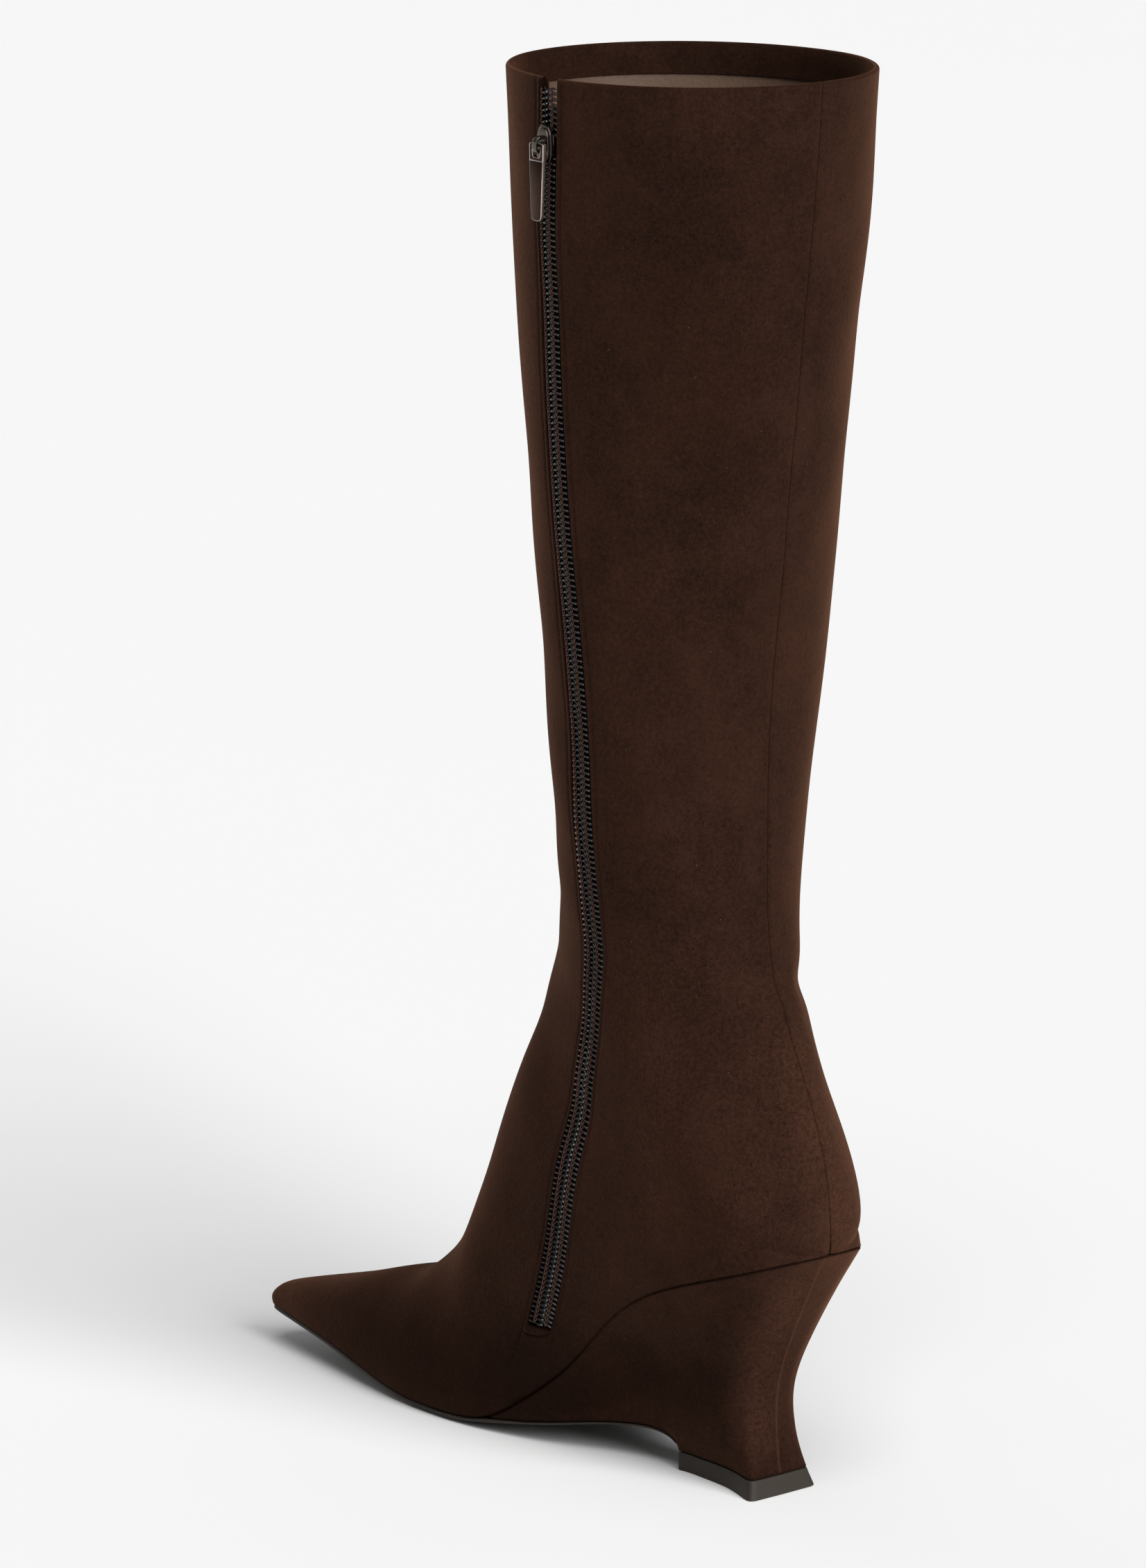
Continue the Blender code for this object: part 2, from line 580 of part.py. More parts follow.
def build_zip_tape(look, parent):
    knots = row_knots()
    knots = knots[(knots > ZIP_START - TAPE_OVERRUN) & (knots < KNOTS[-1] - TAPE_SHY)]
    offsets = (-TAPE_HALF, -SLOT_HALF, 0.0, SLOT_HALF, TAPE_HALF)
    face = strip_grid(knots, offsets, WALL + TAPE_CLEAR)
    back = strip_grid(knots, offsets, WALL + TAPE_CLEAR + TAPE_THICK)
    points, faces = shell(face, back)
    return make_object("zip_tape", points, faces, look, parent)


def build_zip_chain(look, parent):
    knots = row_knots()
    knots = knots[(knots > ZIP_START + CHAIN_SHY) & (knots < slider_knot())]
    knots = np.array([*knots, slider_knot()])
    offsets = (-CHAIN_HALF, 0.0, CHAIN_HALF)
    face = strip_grid(knots, offsets, CHAIN_SUNK)
    back = strip_grid(knots, offsets, CHAIN_SUNK + CHAIN_THICK)
    points, faces = shell(face, back)
    return make_object("zip_chain", points, faces, look, parent)


def slider_knot():
    """Knot of the section on which the slider stands."""
    return KNOTS[-1] - SLIDER_BELOW


def slider_axes():
    """The slider's place and its axes: forward, outward and up, as rows."""
    centre, up, forward, outward = zip_frame(slider_knot())
    return centre, np.array([forward, outward, up])


def prism(outline, half_width):
    """Points and faces of an outline in the outward-up plane, extruded across the zip."""
    count = len(outline)
    points = [(side * half_width, y, z) for side in (-1, 1) for y, z in outline]
    faces = [tuple(range(count)), tuple(reversed(range(count, 2 * count)))]
    for i in range(count):
        j = (i + 1) % count
        faces.append((j, i, i + count, j + count))
    return np.array(points, float), faces


def plate(outline, low, high):
    """Points and faces of an outline in the across-up plane, from depth low to high."""
    count = len(outline)
    points = [(x, y, z) for y in (low, high) for x, z in outline]
    faces = [tuple(range(count)), tuple(reversed(range(count, 2 * count)))]
    for i in range(count):
        j = (i + 1) % count
        faces.append((j, i, i + count, j + count))
    return np.array(points, float), faces


def add_boolean(part, tool, operation):
    """Join or cut a part with another object, which is then only a guide."""
    tool.hide_render = True
    tool.display_type = "WIRE"
    modifier = part.modifiers.new(operation.title(), "BOOLEAN")
    modifier.operation = operation
    modifier.object = tool


def build_slider(look, parent):
    """The slider's plate with the bridge that the pull hangs on."""
    centre, axes = slider_axes()
    half = SLIDER_LENGTH / 2
    corners = ((SLIDER_NOSE, -half), (SLIDER_HALF, SLIDER_NECK - half),
               (SLIDER_HALF, half - SLIDER_SHOULDER), (SLIDER_TAIL, half))
    outline = [*corners, *((-x, z) for x, z in reversed(corners))]
    points, faces = plate(outline, SLIDER_LOW, SLIDER_TOP)
    body = make_object("zip_slider", points @ axes, faces, look, parent, centre, smooth=30)
    foot, roof = SLIDER_TOP - BRIDGE_SUNK, SLIDER_TOP + BRIDGE_GAP
    top, cut = roof + BRIDGE_THICK, BRIDGE_REACH - BRIDGE_BEVEL
    half_arch = ((foot, -BRIDGE_REACH), (top - BRIDGE_BEVEL, -BRIDGE_REACH), (top, -cut))
    inside = ((foot, BRIDGE_INSIDE), (roof, BRIDGE_INSIDE))
    arch = [*half_arch, *((y, -z) for y, z in reversed(half_arch)),
            *inside, *((y, -z) for y, z in reversed(inside))]
    points, faces = prism(arch, BRIDGE_HALF)
    bridge = make_object("bridge_form", points @ axes, faces, look, parent, centre, smooth=30)
    add_boolean(body, bridge, "UNION")
    return body


def hinge_point():
    """Middle of the pull's crossbar, on the joint's axis, in the last's frame."""
    centre, axes = slider_axes()
    return centre + (SLIDER_TOP + BRIDGE_GAP / 2) * axes[1]


def pull_axes():
    """The pull hangs plumb: its axes are along the hinge, outward and up."""
    _, axes = slider_axes()
    outward = unit(axes[1] * (1, 1, 0))
    return np.array([np.cross(outward, (0, 0, 1.0)), outward, (0, 0, 1.0)])


def build_pull(look, parent):
    """The tapered pull tab with the eye that runs under the slider's bridge."""
    axes = pull_axes()
    centre = hinge_point()
    top, end = CROSSBAR_HALF, -PULL_LENGTH
    outline = [(PULL_TOP_HALF, top), (-PULL_TOP_HALF, top), (-PULL_END_HALF, end + PULL_END_HALF)]
    for turn in np.linspace(math.pi, 2 * math.pi, END_STEPS + 1)[1:]:
        outline.append((PULL_END_HALF * math.cos(turn), end + PULL_END_HALF * (1 + math.sin(turn))))
    outline = outline[::-1]
    points, faces = plate(outline, -PULL_THICK / 2, PULL_THICK / 2)
    pull = make_object("zip_pull", points @ axes, faces, look, parent, centre, smooth=30)
    window = [(-EYE_HALF, EYE_END), (EYE_HALF, EYE_END), (EYE_HALF, -top), (-EYE_HALF, -top)]
    points, faces = plate(window, -PULL_THICK, PULL_THICK)
    eye = make_object("eye_form", points @ axes, faces, look, parent, centre, smooth=30)
    add_boolean(pull, eye, "DIFFERENCE")
    return pull


def main():
    for thing in list(bpy.data.objects):
        bpy.data.objects.remove(thing, do_unlink=True)
    boot = bpy.data.objects.new("boot", None)
    bpy.context.collection.objects.link(boot)
    boot.location = (-ORIGIN[0] * MM, -ORIGIN[1] * MM, 0.0)

    suede = material("dark brown suede", (0.050, 0.027, 0.017), 0.9)
    rubber = material("dark rubber", (0.030, 0.025, 0.021), 0.6)
    lining = material("brown lining", (0.12, 0.07, 0.045), 0.7)
    tape = material("zip tape", (0.030, 0.017, 0.012), 0.9)
    coil = material("zip coil", (0.018, 0.014, 0.012), 0.35)
    metal = material("dark metal", (0.055, 0.050, 0.047), 0.3, 1.0)

    build_upper(suede, boot)
    build_wedge(suede, boot)
    build_outsole(rubber, boot)
    build_tap(rubber, boot)
    build_insole(lining, boot)
    build_zip_tape(tape, boot)
    build_zip_chain(coil, boot)
    build_slider(metal, boot)
    build_pull(metal, boot)


if __name__ == "__main__":
    main()
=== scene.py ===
"""Knee-high suede boot on a covered wedge heel, for the right foot, in a plain studio.

Lengths in the tables and in the mesh code are millimetres in the last's own frame: +X is
the medial side, -Y points to the toe, +Z is up, and ORIGIN is the middle of the boot
there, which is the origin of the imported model. The tables are those of the model itself,
so that each piece lies on the surface that the model was made from.
"""

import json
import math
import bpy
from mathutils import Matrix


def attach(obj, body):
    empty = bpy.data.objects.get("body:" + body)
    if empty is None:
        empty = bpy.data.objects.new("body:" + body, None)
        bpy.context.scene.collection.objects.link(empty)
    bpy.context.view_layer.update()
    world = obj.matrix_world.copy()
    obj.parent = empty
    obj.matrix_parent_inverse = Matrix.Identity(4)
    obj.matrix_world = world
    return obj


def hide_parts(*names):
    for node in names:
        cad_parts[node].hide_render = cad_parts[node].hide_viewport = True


bl_info = {
    "name": "Suede Wedge Boot",
    "version": (1, 0, 0),
    "blender": (4, 5, 0),
    "location": "View3D > Sidebar > Boot",
    "description": "Knee-high suede boot with a medial zip and a covered wedge heel",
    "category": "Object",
}

import bmesh
import bpy
import numpy as np
from bpy.props import FloatProperty, FloatVectorProperty, PointerProperty
from mathutils import Vector

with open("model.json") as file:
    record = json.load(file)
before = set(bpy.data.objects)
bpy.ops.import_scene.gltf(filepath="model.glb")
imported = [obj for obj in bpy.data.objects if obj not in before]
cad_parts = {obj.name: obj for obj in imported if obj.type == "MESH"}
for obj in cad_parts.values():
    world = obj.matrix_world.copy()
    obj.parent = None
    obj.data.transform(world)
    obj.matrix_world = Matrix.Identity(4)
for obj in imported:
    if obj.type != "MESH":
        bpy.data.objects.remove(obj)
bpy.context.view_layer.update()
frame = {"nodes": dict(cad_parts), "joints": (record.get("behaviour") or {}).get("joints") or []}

MM = 0.001
TINY = 1e-6
SMALLEST = 1e-9           # length below which a direction is none
WALL = 1.9
GAP = 0.3                 # between the upper, the wedge and the sole sheet
OUTSOLE_THICK = 2.4
SHANK_THICK = 1.6
TAP_TOP = 5.9
GRADE = 0.95              # the tables are for a longer boot, and are scaled by this
ORIGIN = (2.4, -107.8)
EDGE_LIFT = 0.9           # the sole sheet curls up this much at its sides
SOLE_INSET = 0.4
THIN_FROM = -118.0        # the sole sheet thins between these y
THIN_TO = -95.0
SLOT_HALF = 3.9
SLOT_LOWER = 2.0          # the slot ends this far below the section called arch
SLIDER_BELOW = 20.0       # the slider stands this far below the collar

# ---- the sections of the upper, toe to collar ----

# mid is the ridge's x; foot and wide are half widths at the lower edge and at the widest
# line; zip is how far the zip's line runs from the ridge over the suede; belly is where
# the widest line lies as a share of the section; low, top and tuck are roundnesses.
COLUMNS = ("back_y", "back_z", "front_y", "front_z", "mid", "foot_m", "foot_l",
           "wide_m", "wide_l", "zip", "belly", "low", "top", "tuck")
LENGTHS = 10              # the first so many columns are lengths
SOLE = math.nan
SECTIONS = {
    "toe edge":     (-246, SOLE, -246, 12.6, 10.5, 4.6, 5, 4.6, 5, 2.8, 0.45, 1, 2, 2.1),
    "toe face":     (-245.8, SOLE, -246.4, 17.2, 10.5, 5.4, 6.2, 5.6, 6.4, 3.8, 0.45, 1, 2.4, 2.1),
    "toe corner":   (-244.4, SOLE, -244, 20.6, 10.5, 6.4, 7.6, 6.8, 8, 5.7, 0.42, 1, 2.5, 2.1),
    "toe top":      (-240, SOLE, -238.6, 23, 10.3, 7.7, 9.4, 8.3, 10, 7.6, 0.4, 1, 2.4, 2.1),
    "toe":          (-226, SOLE, -224, 27, 9.4, 11.2, 15, 12.2, 16, 15.8, 0.38, 1, 2.2, 2.1),
    "toes":         (-206, SOLE, -203, 33.4, 7.6, 16.2, 24.2, 17.6, 25.8, 25.7, 0.36, 1, 2.1, 2.1),
    "vamp":         (-184, SOLE, -183, 39.4, 5.3, 22, 33.2, 23.8, 35.2, 37.5, 0.34, 1, 2, 2.1),
    "ball":         (-160, SOLE, -168, 44, 3, 27, 39.4, 29, 41.6, 49.7, 0.32, 1, 2, 2.1),
    "lower instep": (-138, SOLE, -157, 52, 1, 29.8, 42, 32, 44, 61.8, 0.3, 1, 2, 2.1),
    "seam start":   (-118, SOLE, -146, 65.5, 0, 29.6, 41, 32.4, 42.4, 74.6, 0.3, 1, 2, 2),
    "instep":       (-100, 14.5, -136.8, 83, 0, 27.4, 36.8, 31.4, 38.4, 88.5, 0.38, 1.1, 2.1, 2),
    "arch":         (-76, 32, -130.2, 101, 0, 27, 32.6, 31.6, 35.4, 86, 0.44, 1.2, 2.1, 1.9),
    "high instep":  (-50, 56, -123, 119, 0, 28.4, 30.4, 32, 33.4, 77.8, 0.48, 1.3, 2.1, 1.9),
    "heel seat":    (-20, 71.5, -115, 136, 0, 30.4, 30.8, 32.6, 33, 69.6, 0.48, 1.5, 2.1, 1.9),
    "heel":         (5, 80, -108.5, 151, 0, 26.2, 26.4, 32.6, 32.8, 64.2, 0.44, 1.8, 2.1, 2),
    "heel back":    (16.6, 84, -106.5, 160, 0, 17.2, 17.3, 33.2, 33.4, 62.2, 0.42, 2.3, 2.1, 2),
    "heel end":     (20.1, 85.2, -105.2, 164.2, 0, 8.8, 8.8, 33.4, 33.4, 61.5, 0.41, 2.5, 2.1, 2),
    "seam end":     (21.1, 85.6, -104.2, 167.5, 0, 0, 0, 33.4, 33.4, 61.2, 0.41, 2.6, 2.1, 2),
    "counter":      (21, 101, -101.2, 177, 0, 0, 0, 32.8, 32.8, 60.1, 0.47, 2.5, 2.1, 1.9),
    "counter top":  (17, 119, -98.8, 187, 0, 0, 0, 32.2, 32.2, 60.1, 0.56, 2.1, 2.1, 1.7),
    "ankle":        (9, 139, -96.2, 197, 0, 0, 0, 33, 33, 61.3, 0.6, 1.8, 2.1, 1.6),
    "ankle top":    (-1.5, 160, -95.2, 209, 0, 0, 0, 35.2, 35.2, 63.1, 0.58, 1.75, 2.1, 1.8),
    "narrow":       (-8.8, 184, -94.4, 224, 0, 0, 0, 38, 38, 64.4, 0.54, 1.75, 2, 2),
    "lower shaft":  (-10.3, 214, -93.8, 240, 0, 0, 0, 41.2, 41.2, 65.5, 0.52, 1.9, 2, 2.1),
    "shaft":        (-8.8, 256, -94, 268, 0, 0, 0, 45.6, 45.6, 70, 0.5, 2, 2, 2.1),
    "mid shaft":    (-3.6, 304, -97, 308, 0, 0, 0, 49.8, 49.8, 74.3, 0.5, 2, 2, 2.1),
    "calf":         (2.6, 360, -102, 360, 0, 0, 0, 52.8, 52.8, 78.5, 0.5, 2, 2, 2.1),
    "upper calf":   (9.4, 414, -106.2, 414, 0, 0, 0, 55.8, 55.8, 83.7, 0.5, 2, 2, 2.1),
    "collar":       (13.8, 464, -109.2, 464, 0, 0, 0, 57.6, 57.6, 90.5, 0.5, 2, 2, 2.1),
}
FIRST_CLOSED = "seam end"

# Underside of the sole sheet, from the sprung toe to the arch (y, z).
SOLE_LINE = ((-248, 11.6), (-235, 10.6), (-212, 8.3), (-192, 5.3), (-174, 2.4),
             (-160, 0.4), (-150, -0.1), (-140, -0.1), (-130, 0.4), (-118, 2),
             (-104, 4.2), (-88, 6.9), (-72, 9.7), (-60, 11.1), (-52, 11.2),
             (-46.5, 9.6), (-43, 7.2))

# ---- the wedge: each row is a line of its wall, from the seam down to its lower edge ----
WEDGE_COLUMNS = ("top_y", "waist_y", "waist_m", "waist_l", "bottom_y", "bottom_m", "bottom_l")
WEDGE = {
    "front":        (-114, -114, 28.6, 39.8, -114, 28.6, 39.8),
    "arch front":   (-100, -100.6, 26.2, 35.4, -101, 26.4, 35.6),
    "arch":         (-82, -83.8, 22.6, 29.4, -85, 22.6, 29.6),
    "waist":        (-66, -69.4, 18.6, 23.2, -71, 17.6, 23),
    "low waist":    (-52, -56.4, 16.2, 18.8, -58, 13.4, 17),
    "breast":       (-41, -47.2, 15.2, 16.6, -49, 10.6, 12),
    "sheet end":    (-31.5, -40, 14.8, 15.6, -43.1, 8.7, 8.9),
    "tap front":    (-31, -39.5, 14.8, 15.6, -42.5, 8.6, 8.8),
    "tap side":     (-17, -28.5, 14.8, 15.2, -31, 8.3, 8.5),
    "tap flare":    (-3, -18, 14.2, 14.4, -17, 9.2, 9.4),
    "tap corner":   (7, -10.4, 11.8, 11.8, -7, 11.8, 11.8),
    "corner":       (12, -7, 8.8, 8.8, -3, 12.4, 12.4),
    "back corner":  (15.4, -5.6, 6, 6, -1.9, 10.8, 10.8),
    "back quarter": (19.2, -4.8, 2.9, 2.9, -1.7, 6, 6),
    "back":         (21.1, -4.6, 0, 0, -1.6, 0, 0),
}
WAIST_SHARE = 0.35        # height of the waist as a share of the wedge's
ABOVE_WAIST = 1.25        # how the wall swells out above it
BELOW_WAIST = 2.0         # and below it
TAP_FRONT = -40.7
TAP_FLARE_BACK = 1.6      # the tap's lower edge stands out this much at its back
TAP_FLARE_SIDE = 1.8      # and at its sides
TAP_HALF = 9.0
TAP_FLARE_GROWTH = 1.8
FOOT_SHARE = 0.04         # the wedge's wall is even above this share of its height


def spline(knots, values):
    """Natural cubic spline through values at knots; values may have several columns."""
    x = np.asarray(knots, float)
    y = np.asarray(values, float)
    h = np.diff(x)
    slopes = np.diff(y, axis=0) / h.reshape(-1, *([1] * (y.ndim - 1)))
    system = np.eye(len(x))
    rhs = np.zeros_like(y)
    for i in range(1, len(x) - 1):
        system[i, i - 1:i + 2] = h[i - 1], 2 * (h[i - 1] + h[i]), h[i]
        rhs[i] = 6 * (slopes[i] - slopes[i - 1])
    curve = np.linalg.solve(system, rhs)

    def value(at):
        at = np.asarray(at, float)
        i = np.clip(np.searchsorted(x, at) - 1, 0, len(h) - 1)
        shape = at.shape + (1,) * (y.ndim - 1)
        right = ((at - x[i]) / h[i]).reshape(shape)
        left = 1 - right
        step = (h[i] ** 2 / 6).reshape(shape)
        return (left * y[i] + right * y[i + 1]
                + step * ((left ** 3 - left) * curve[i] + (right ** 3 - right) * curve[i + 1]))
    return value


sole_curve = spline(*(np.array(SOLE_LINE) * GRADE).T)


def sole_height(y):
    """Underside of the sole sheet, flat on the floor where the curve would dip below it."""
    return np.maximum(sole_curve(y), 0.0)


def section_table():
    """The rows of SECTIONS with their lower edges set on the sole, and their knots."""
    table = np.array(list(SECTIONS.values()), float)
    table[:, :LENGTHS] *= GRADE
    on_sole = np.isnan(table[:, 1])
    table[on_sole, 1] = sole_height(table[on_sole, 0]) + OUTSOLE_THICK + GAP
    table[0, 3] = table[0, 1]
    back = np.hypot(*np.diff(table[:, 0:2], axis=0).T)
    front = np.hypot(*np.diff(table[:, 2:4], axis=0).T)
    return np.concatenate([[0], np.cumsum((back + front) / 2)]), table


KNOTS, TABLE = section_table()
table_at = spline(KNOTS, TABLE)
KNOT_OF = dict(zip(SECTIONS, KNOTS))
CLOSED_AT = KNOT_OF[FIRST_CLOSED] - TINY
ZIP_START = KNOT_OF["arch"] - SLOT_LOWER
COLLAR = KNOTS[-1]


def half_section(share, foot, wide, belly, low, top, tuck):
    """Half width of a section at shares of its height, 0 at the lower edge, 1 at the ridge."""
    start = (1 - (foot / wide) ** low) ** (1 / tuck)
    below = start * np.clip(1 - share / belly, 0, 1)
    above = np.clip((share - belly) / (1 - belly), 0, 1)
    lower = (1 - below ** tuck) ** (1 / low)
    upper = (1 - above ** top) ** (1 / top)
    return wide * np.where(share < belly, lower, upper)


def run_length(points):
    """Length along a polyline at each of its points."""
    steps = np.linalg.norm(np.diff(points, axis=0), axis=1)
    return np.concatenate([[0], np.cumsum(steps)])


def unit(vectors):
    """Vectors made one long; those of no length stay so."""
    size = np.linalg.norm(vectors, axis=-1, keepdims=True)
    return vectors / np.maximum(size, SMALLEST)


def bell(distance, width, power=2):
    """1 at no distance, falling softly to 0 at about twice the width."""
    return np.exp(-(distance / width) ** power)


def ramp(value, start, end):
    """0 up to a start, 1 past an end, and even between them."""
    return np.clip((value - start) / (end - start), 0, 1)


def sample(table, places, at):
    """Rows of a table that is given at places along a line, read at other places."""
    return np.stack([np.interp(at, places, column) for column in table.T], axis=-1)


class Section:
    """One cut through the boot: a line on each side from the lower or back edge to the ridge."""

    def __init__(self, at, count=160):
        row = dict(zip(COLUMNS, table_at(at)))
        self.closed = at >= CLOSED_AT
        self.halves = {}
        turn = np.linspace(0, math.pi / 2, count)
        lower = row["belly"] * (1 - np.cos(turn))
        upper = row["belly"] + (1 - row["belly"]) * np.sin(turn)
        share = np.concatenate([lower, upper[1:]])
        y = row["back_y"] + share * (row["front_y"] - row["back_y"])
        z = row["back_z"] + share * (row["front_z"] - row["back_z"])
        for side, letter in ((1, "m"), (-1, "l")):
            foot = 0.0 if self.closed else max(row["foot_" + letter], 0.0)
            out = half_section(share, foot, row["wide_" + letter],
                               row["belly"], row["low"], row["top"], row["tuck"])
            line = np.stack([row["mid"] + side * out, y, z], axis=1)
            self.halves[side] = line, run_length(line)
        self.zip = self.girth(1) - row["zip"]

    def girth(self, side):
        return self.halves[side][1][-1]

    def points(self, side, distances):
        """Points at distances from the lower edge on one side."""
        return sample(*self.halves[side], distances)


# ---- softness of the suede ----

# Long low waves of the shaft: height, wavelengths along x, y and z, and phase.
WAVES = ((0.22, 95, 110, 150, 0.4), (0.15, 60, 90, 71, 2.1), (0.1, 48, 43, 52, 4))
# Soft creases and swells: height, half width, and points of the route.
CREASES = {
    "ankle fold": (0.8, 4.5, (-6, -2, 151), (6, -4, 154), (15, -11, 156)),
    "above ankle fold": (-0.8, 4, (-4, -6, 163), (6, -6, 165.5), (16, -13, 168)),
    "ankle corner": (-1.7, 6, (-26, -34, 160), (-18, -13, 158.5), (-15, -10, 158.5)),
    "instep crease": (-0.5, 3, (0, -150, 60), (10, -149, 57), (17, -146, 50)),
}
# Painted light and shade: patches lighter where edges, ridges and the toe catch the light and
# darker on sides turned from it; amount, half width, and points of the route.
LIGHT_SHADE_PATCHES = {
    "vamp side": (-0.17, 24, (30, -178, 20), (30, -135, 19), (28, -95, 16)),
    "instep side": (-0.07, 15, (19, -92, 140), (26, -100, 100), (28, -112, 62)),
    "wedge side": (-0.13, 18, (18, -70, 26), (16, -18, 34)),
    "wedge corner": (0.24, 7, (8, -5, 18), (8, -4, 40), (9, 11, 68)),
    "heel": (0.26, 13, (0, 12, 140), (-4, 19, 115), (-8, 19, 82)),
    "ankle": (0.15, 17, (28, -31, 165), (31, -27, 100)),
    "toe": (0.2, 8, (10, -240, 22), (17, -222, 20)),
    "shaft front": (0.48, 12, (47, -76, 430), (46, -74, 360), (40, -78, 280)),
    "shaft middle": (0.08, 15, (51, -42, 430), (42, -40, 200)),
    "shaft rear": (-0.06, 18, (36, -10, 410), (26, -6, 320)),
    "counter side": (0.12, 13, (20, 4, 125), (22, 4, 95)),
    "wedge foot": (-0.08, 8, (1, -3, 12), (16, -8, 14)),
}


def bump_along(points, route, width):
    """1 on a route through points in space, falling softly to 0 at about twice its width."""
    near = np.full(len(points), np.inf)
    for a, b in zip(route, route[1:]):
        step = b - a
        share = np.clip((points - a) @ step / (step @ step), 0, 1)
        near = np.minimum(near, np.linalg.norm(points - a - share[:, None] * step, axis=1))
    return bell(near, width)


def smooth_route(route, count=24):
    """Points along a smooth line through a few given points."""
    route = np.array(route, float)
    return spline(run_length(route), route)(np.linspace(0, run_length(route)[-1], count))


def relief(points):
    """How far the suede stands out from the plain surface at points, in millimetres."""
    points = np.asarray(points, float)
    flat = points.reshape(-1, 3)
    height = np.zeros(len(flat))
    for size, along_x, along_y, along_z, phase in WAVES:
        turn = flat @ (2 * math.pi / np.array([along_x, along_y, along_z])) + phase
        height += size * np.sin(turn)
    depth = bpy.context.scene.boot_sizes.crease_depth
    for name, (size, width, *route) in CREASES.items():
        height += size * depth * bump_along(flat, smooth_route(route), width)
    return height.reshape(points.shape[:-1])


def paint_light_and_shade(points):
    """Painted shade (below 0) and painted light (above 0) on the suede at points."""
    flat = np.asarray(points, float).reshape(-1, 3)
    tone = np.zeros(len(flat))
    for amount, width, *route in LIGHT_SHADE_PATCHES.values():
        tone += amount * bump_along(flat, smooth_route(route), width)
    return tone


# ---- the zip's line ----

DIRECTION_STEP = 0.5      # directions are taken between points this far to each side
CHAIN_SHIFT = 1.0         # up the shaft the chain stands this far towards the toe,
CHAIN_SINK = 0.4          # and this much deeper
CHAIN_INSIDE = 0.4        # its loops stay this far inside the slot's front edge
CHAIN_SPREAD = 1.12       # how much wider than its pattern it stands,
CHAIN_WIDEN = 0.05        # and how much more over the foot
SLOT_WIDEN = 0.16         # how much wider the slot is over the foot
CHAIN_ROLL = 0.14         # and how steeply it leans out there
FOOT_ENDS = 230, 90       # lengths along the zip between which it leaves the foot


def low_part(length):
    """1 where the zip runs over the foot, falling to 0 up the shaft."""
    share = ramp(length, *FOOT_ENDS)
    return share * share * (3 - 2 * share)


def slot_half(length):
    """Half the width of the zip's slot, which is wider over the foot."""
    return SLOT_HALF * (1 + SLOT_WIDEN * low_part(length))


class ZipLine:
    """The zip's centre line and directions; length 0 is the lower end of its slot."""

    def __init__(self, low=-26.0, step=1.0):
        knots = np.append(np.arange(ZIP_START + low, COLLAR, step), COLLAR)
        cuts = [Section(at) for at in knots]
        rear, centre, front = (np.array([cut.points(1, cut.zip + o) for cut in cuts])
                               for o in (-DIRECTION_STEP, 0.0, DIRECTION_STEP))
        up = unit(np.gradient(centre, knots, axis=0))
        across = unit(front - rear)
        outward = unit(np.cross(up, across))
        forward = unit(np.cross(outward, up))
        self.knots = knots
        level = (across * forward).sum(axis=1)
        self.slant = 1 / np.abs(level)
        pace = np.linalg.norm(np.gradient(centre, knots, axis=0), axis=1)
        self.skew = (across * up).sum(axis=1) / level / pace
        centre = centre + relief(centre)[:, None] * outward
        length = run_length(centre)
        self.length = length - np.interp(ZIP_START, knots, length)
        self.centre, self.up, self.forward, self.outward = centre, up, forward, outward
        self.end = self.length[-1]

    def axes(self, length):
        """Unit directions at lengths: forward, outward and up."""
        return [unit(sample(table, self.length, length))
                for table in (self.forward, self.outward, self.up)]

    def chain(self, length, across, height):
        """Points of the zip's chain, which is wider and turned outwards over the foot."""
        low = low_part(length)
        height = height - CHAIN_SINK * (1 - low) + CHAIN_ROLL * low * across
        across = across * (CHAIN_SPREAD + CHAIN_WIDEN * low) + CHAIN_SHIFT * (1 - low)
        return self.place(length, np.minimum(across, slot_half(length) - CHAIN_INSIDE), height)

    def place(self, length, across=0.0, height=0.0):
        """Points at lengths along the zip, across it towards the toe and above the suede."""
        forward, outward, _ = self.axes(length)
        across, height = np.asarray(across)[..., None], np.asarray(height)[..., None]
        centre = sample(self.centre, self.length, length)
        return centre + across * forward + height * outward


# ---- making meshes ----

WELD = 0.002              # points closer than this are one point


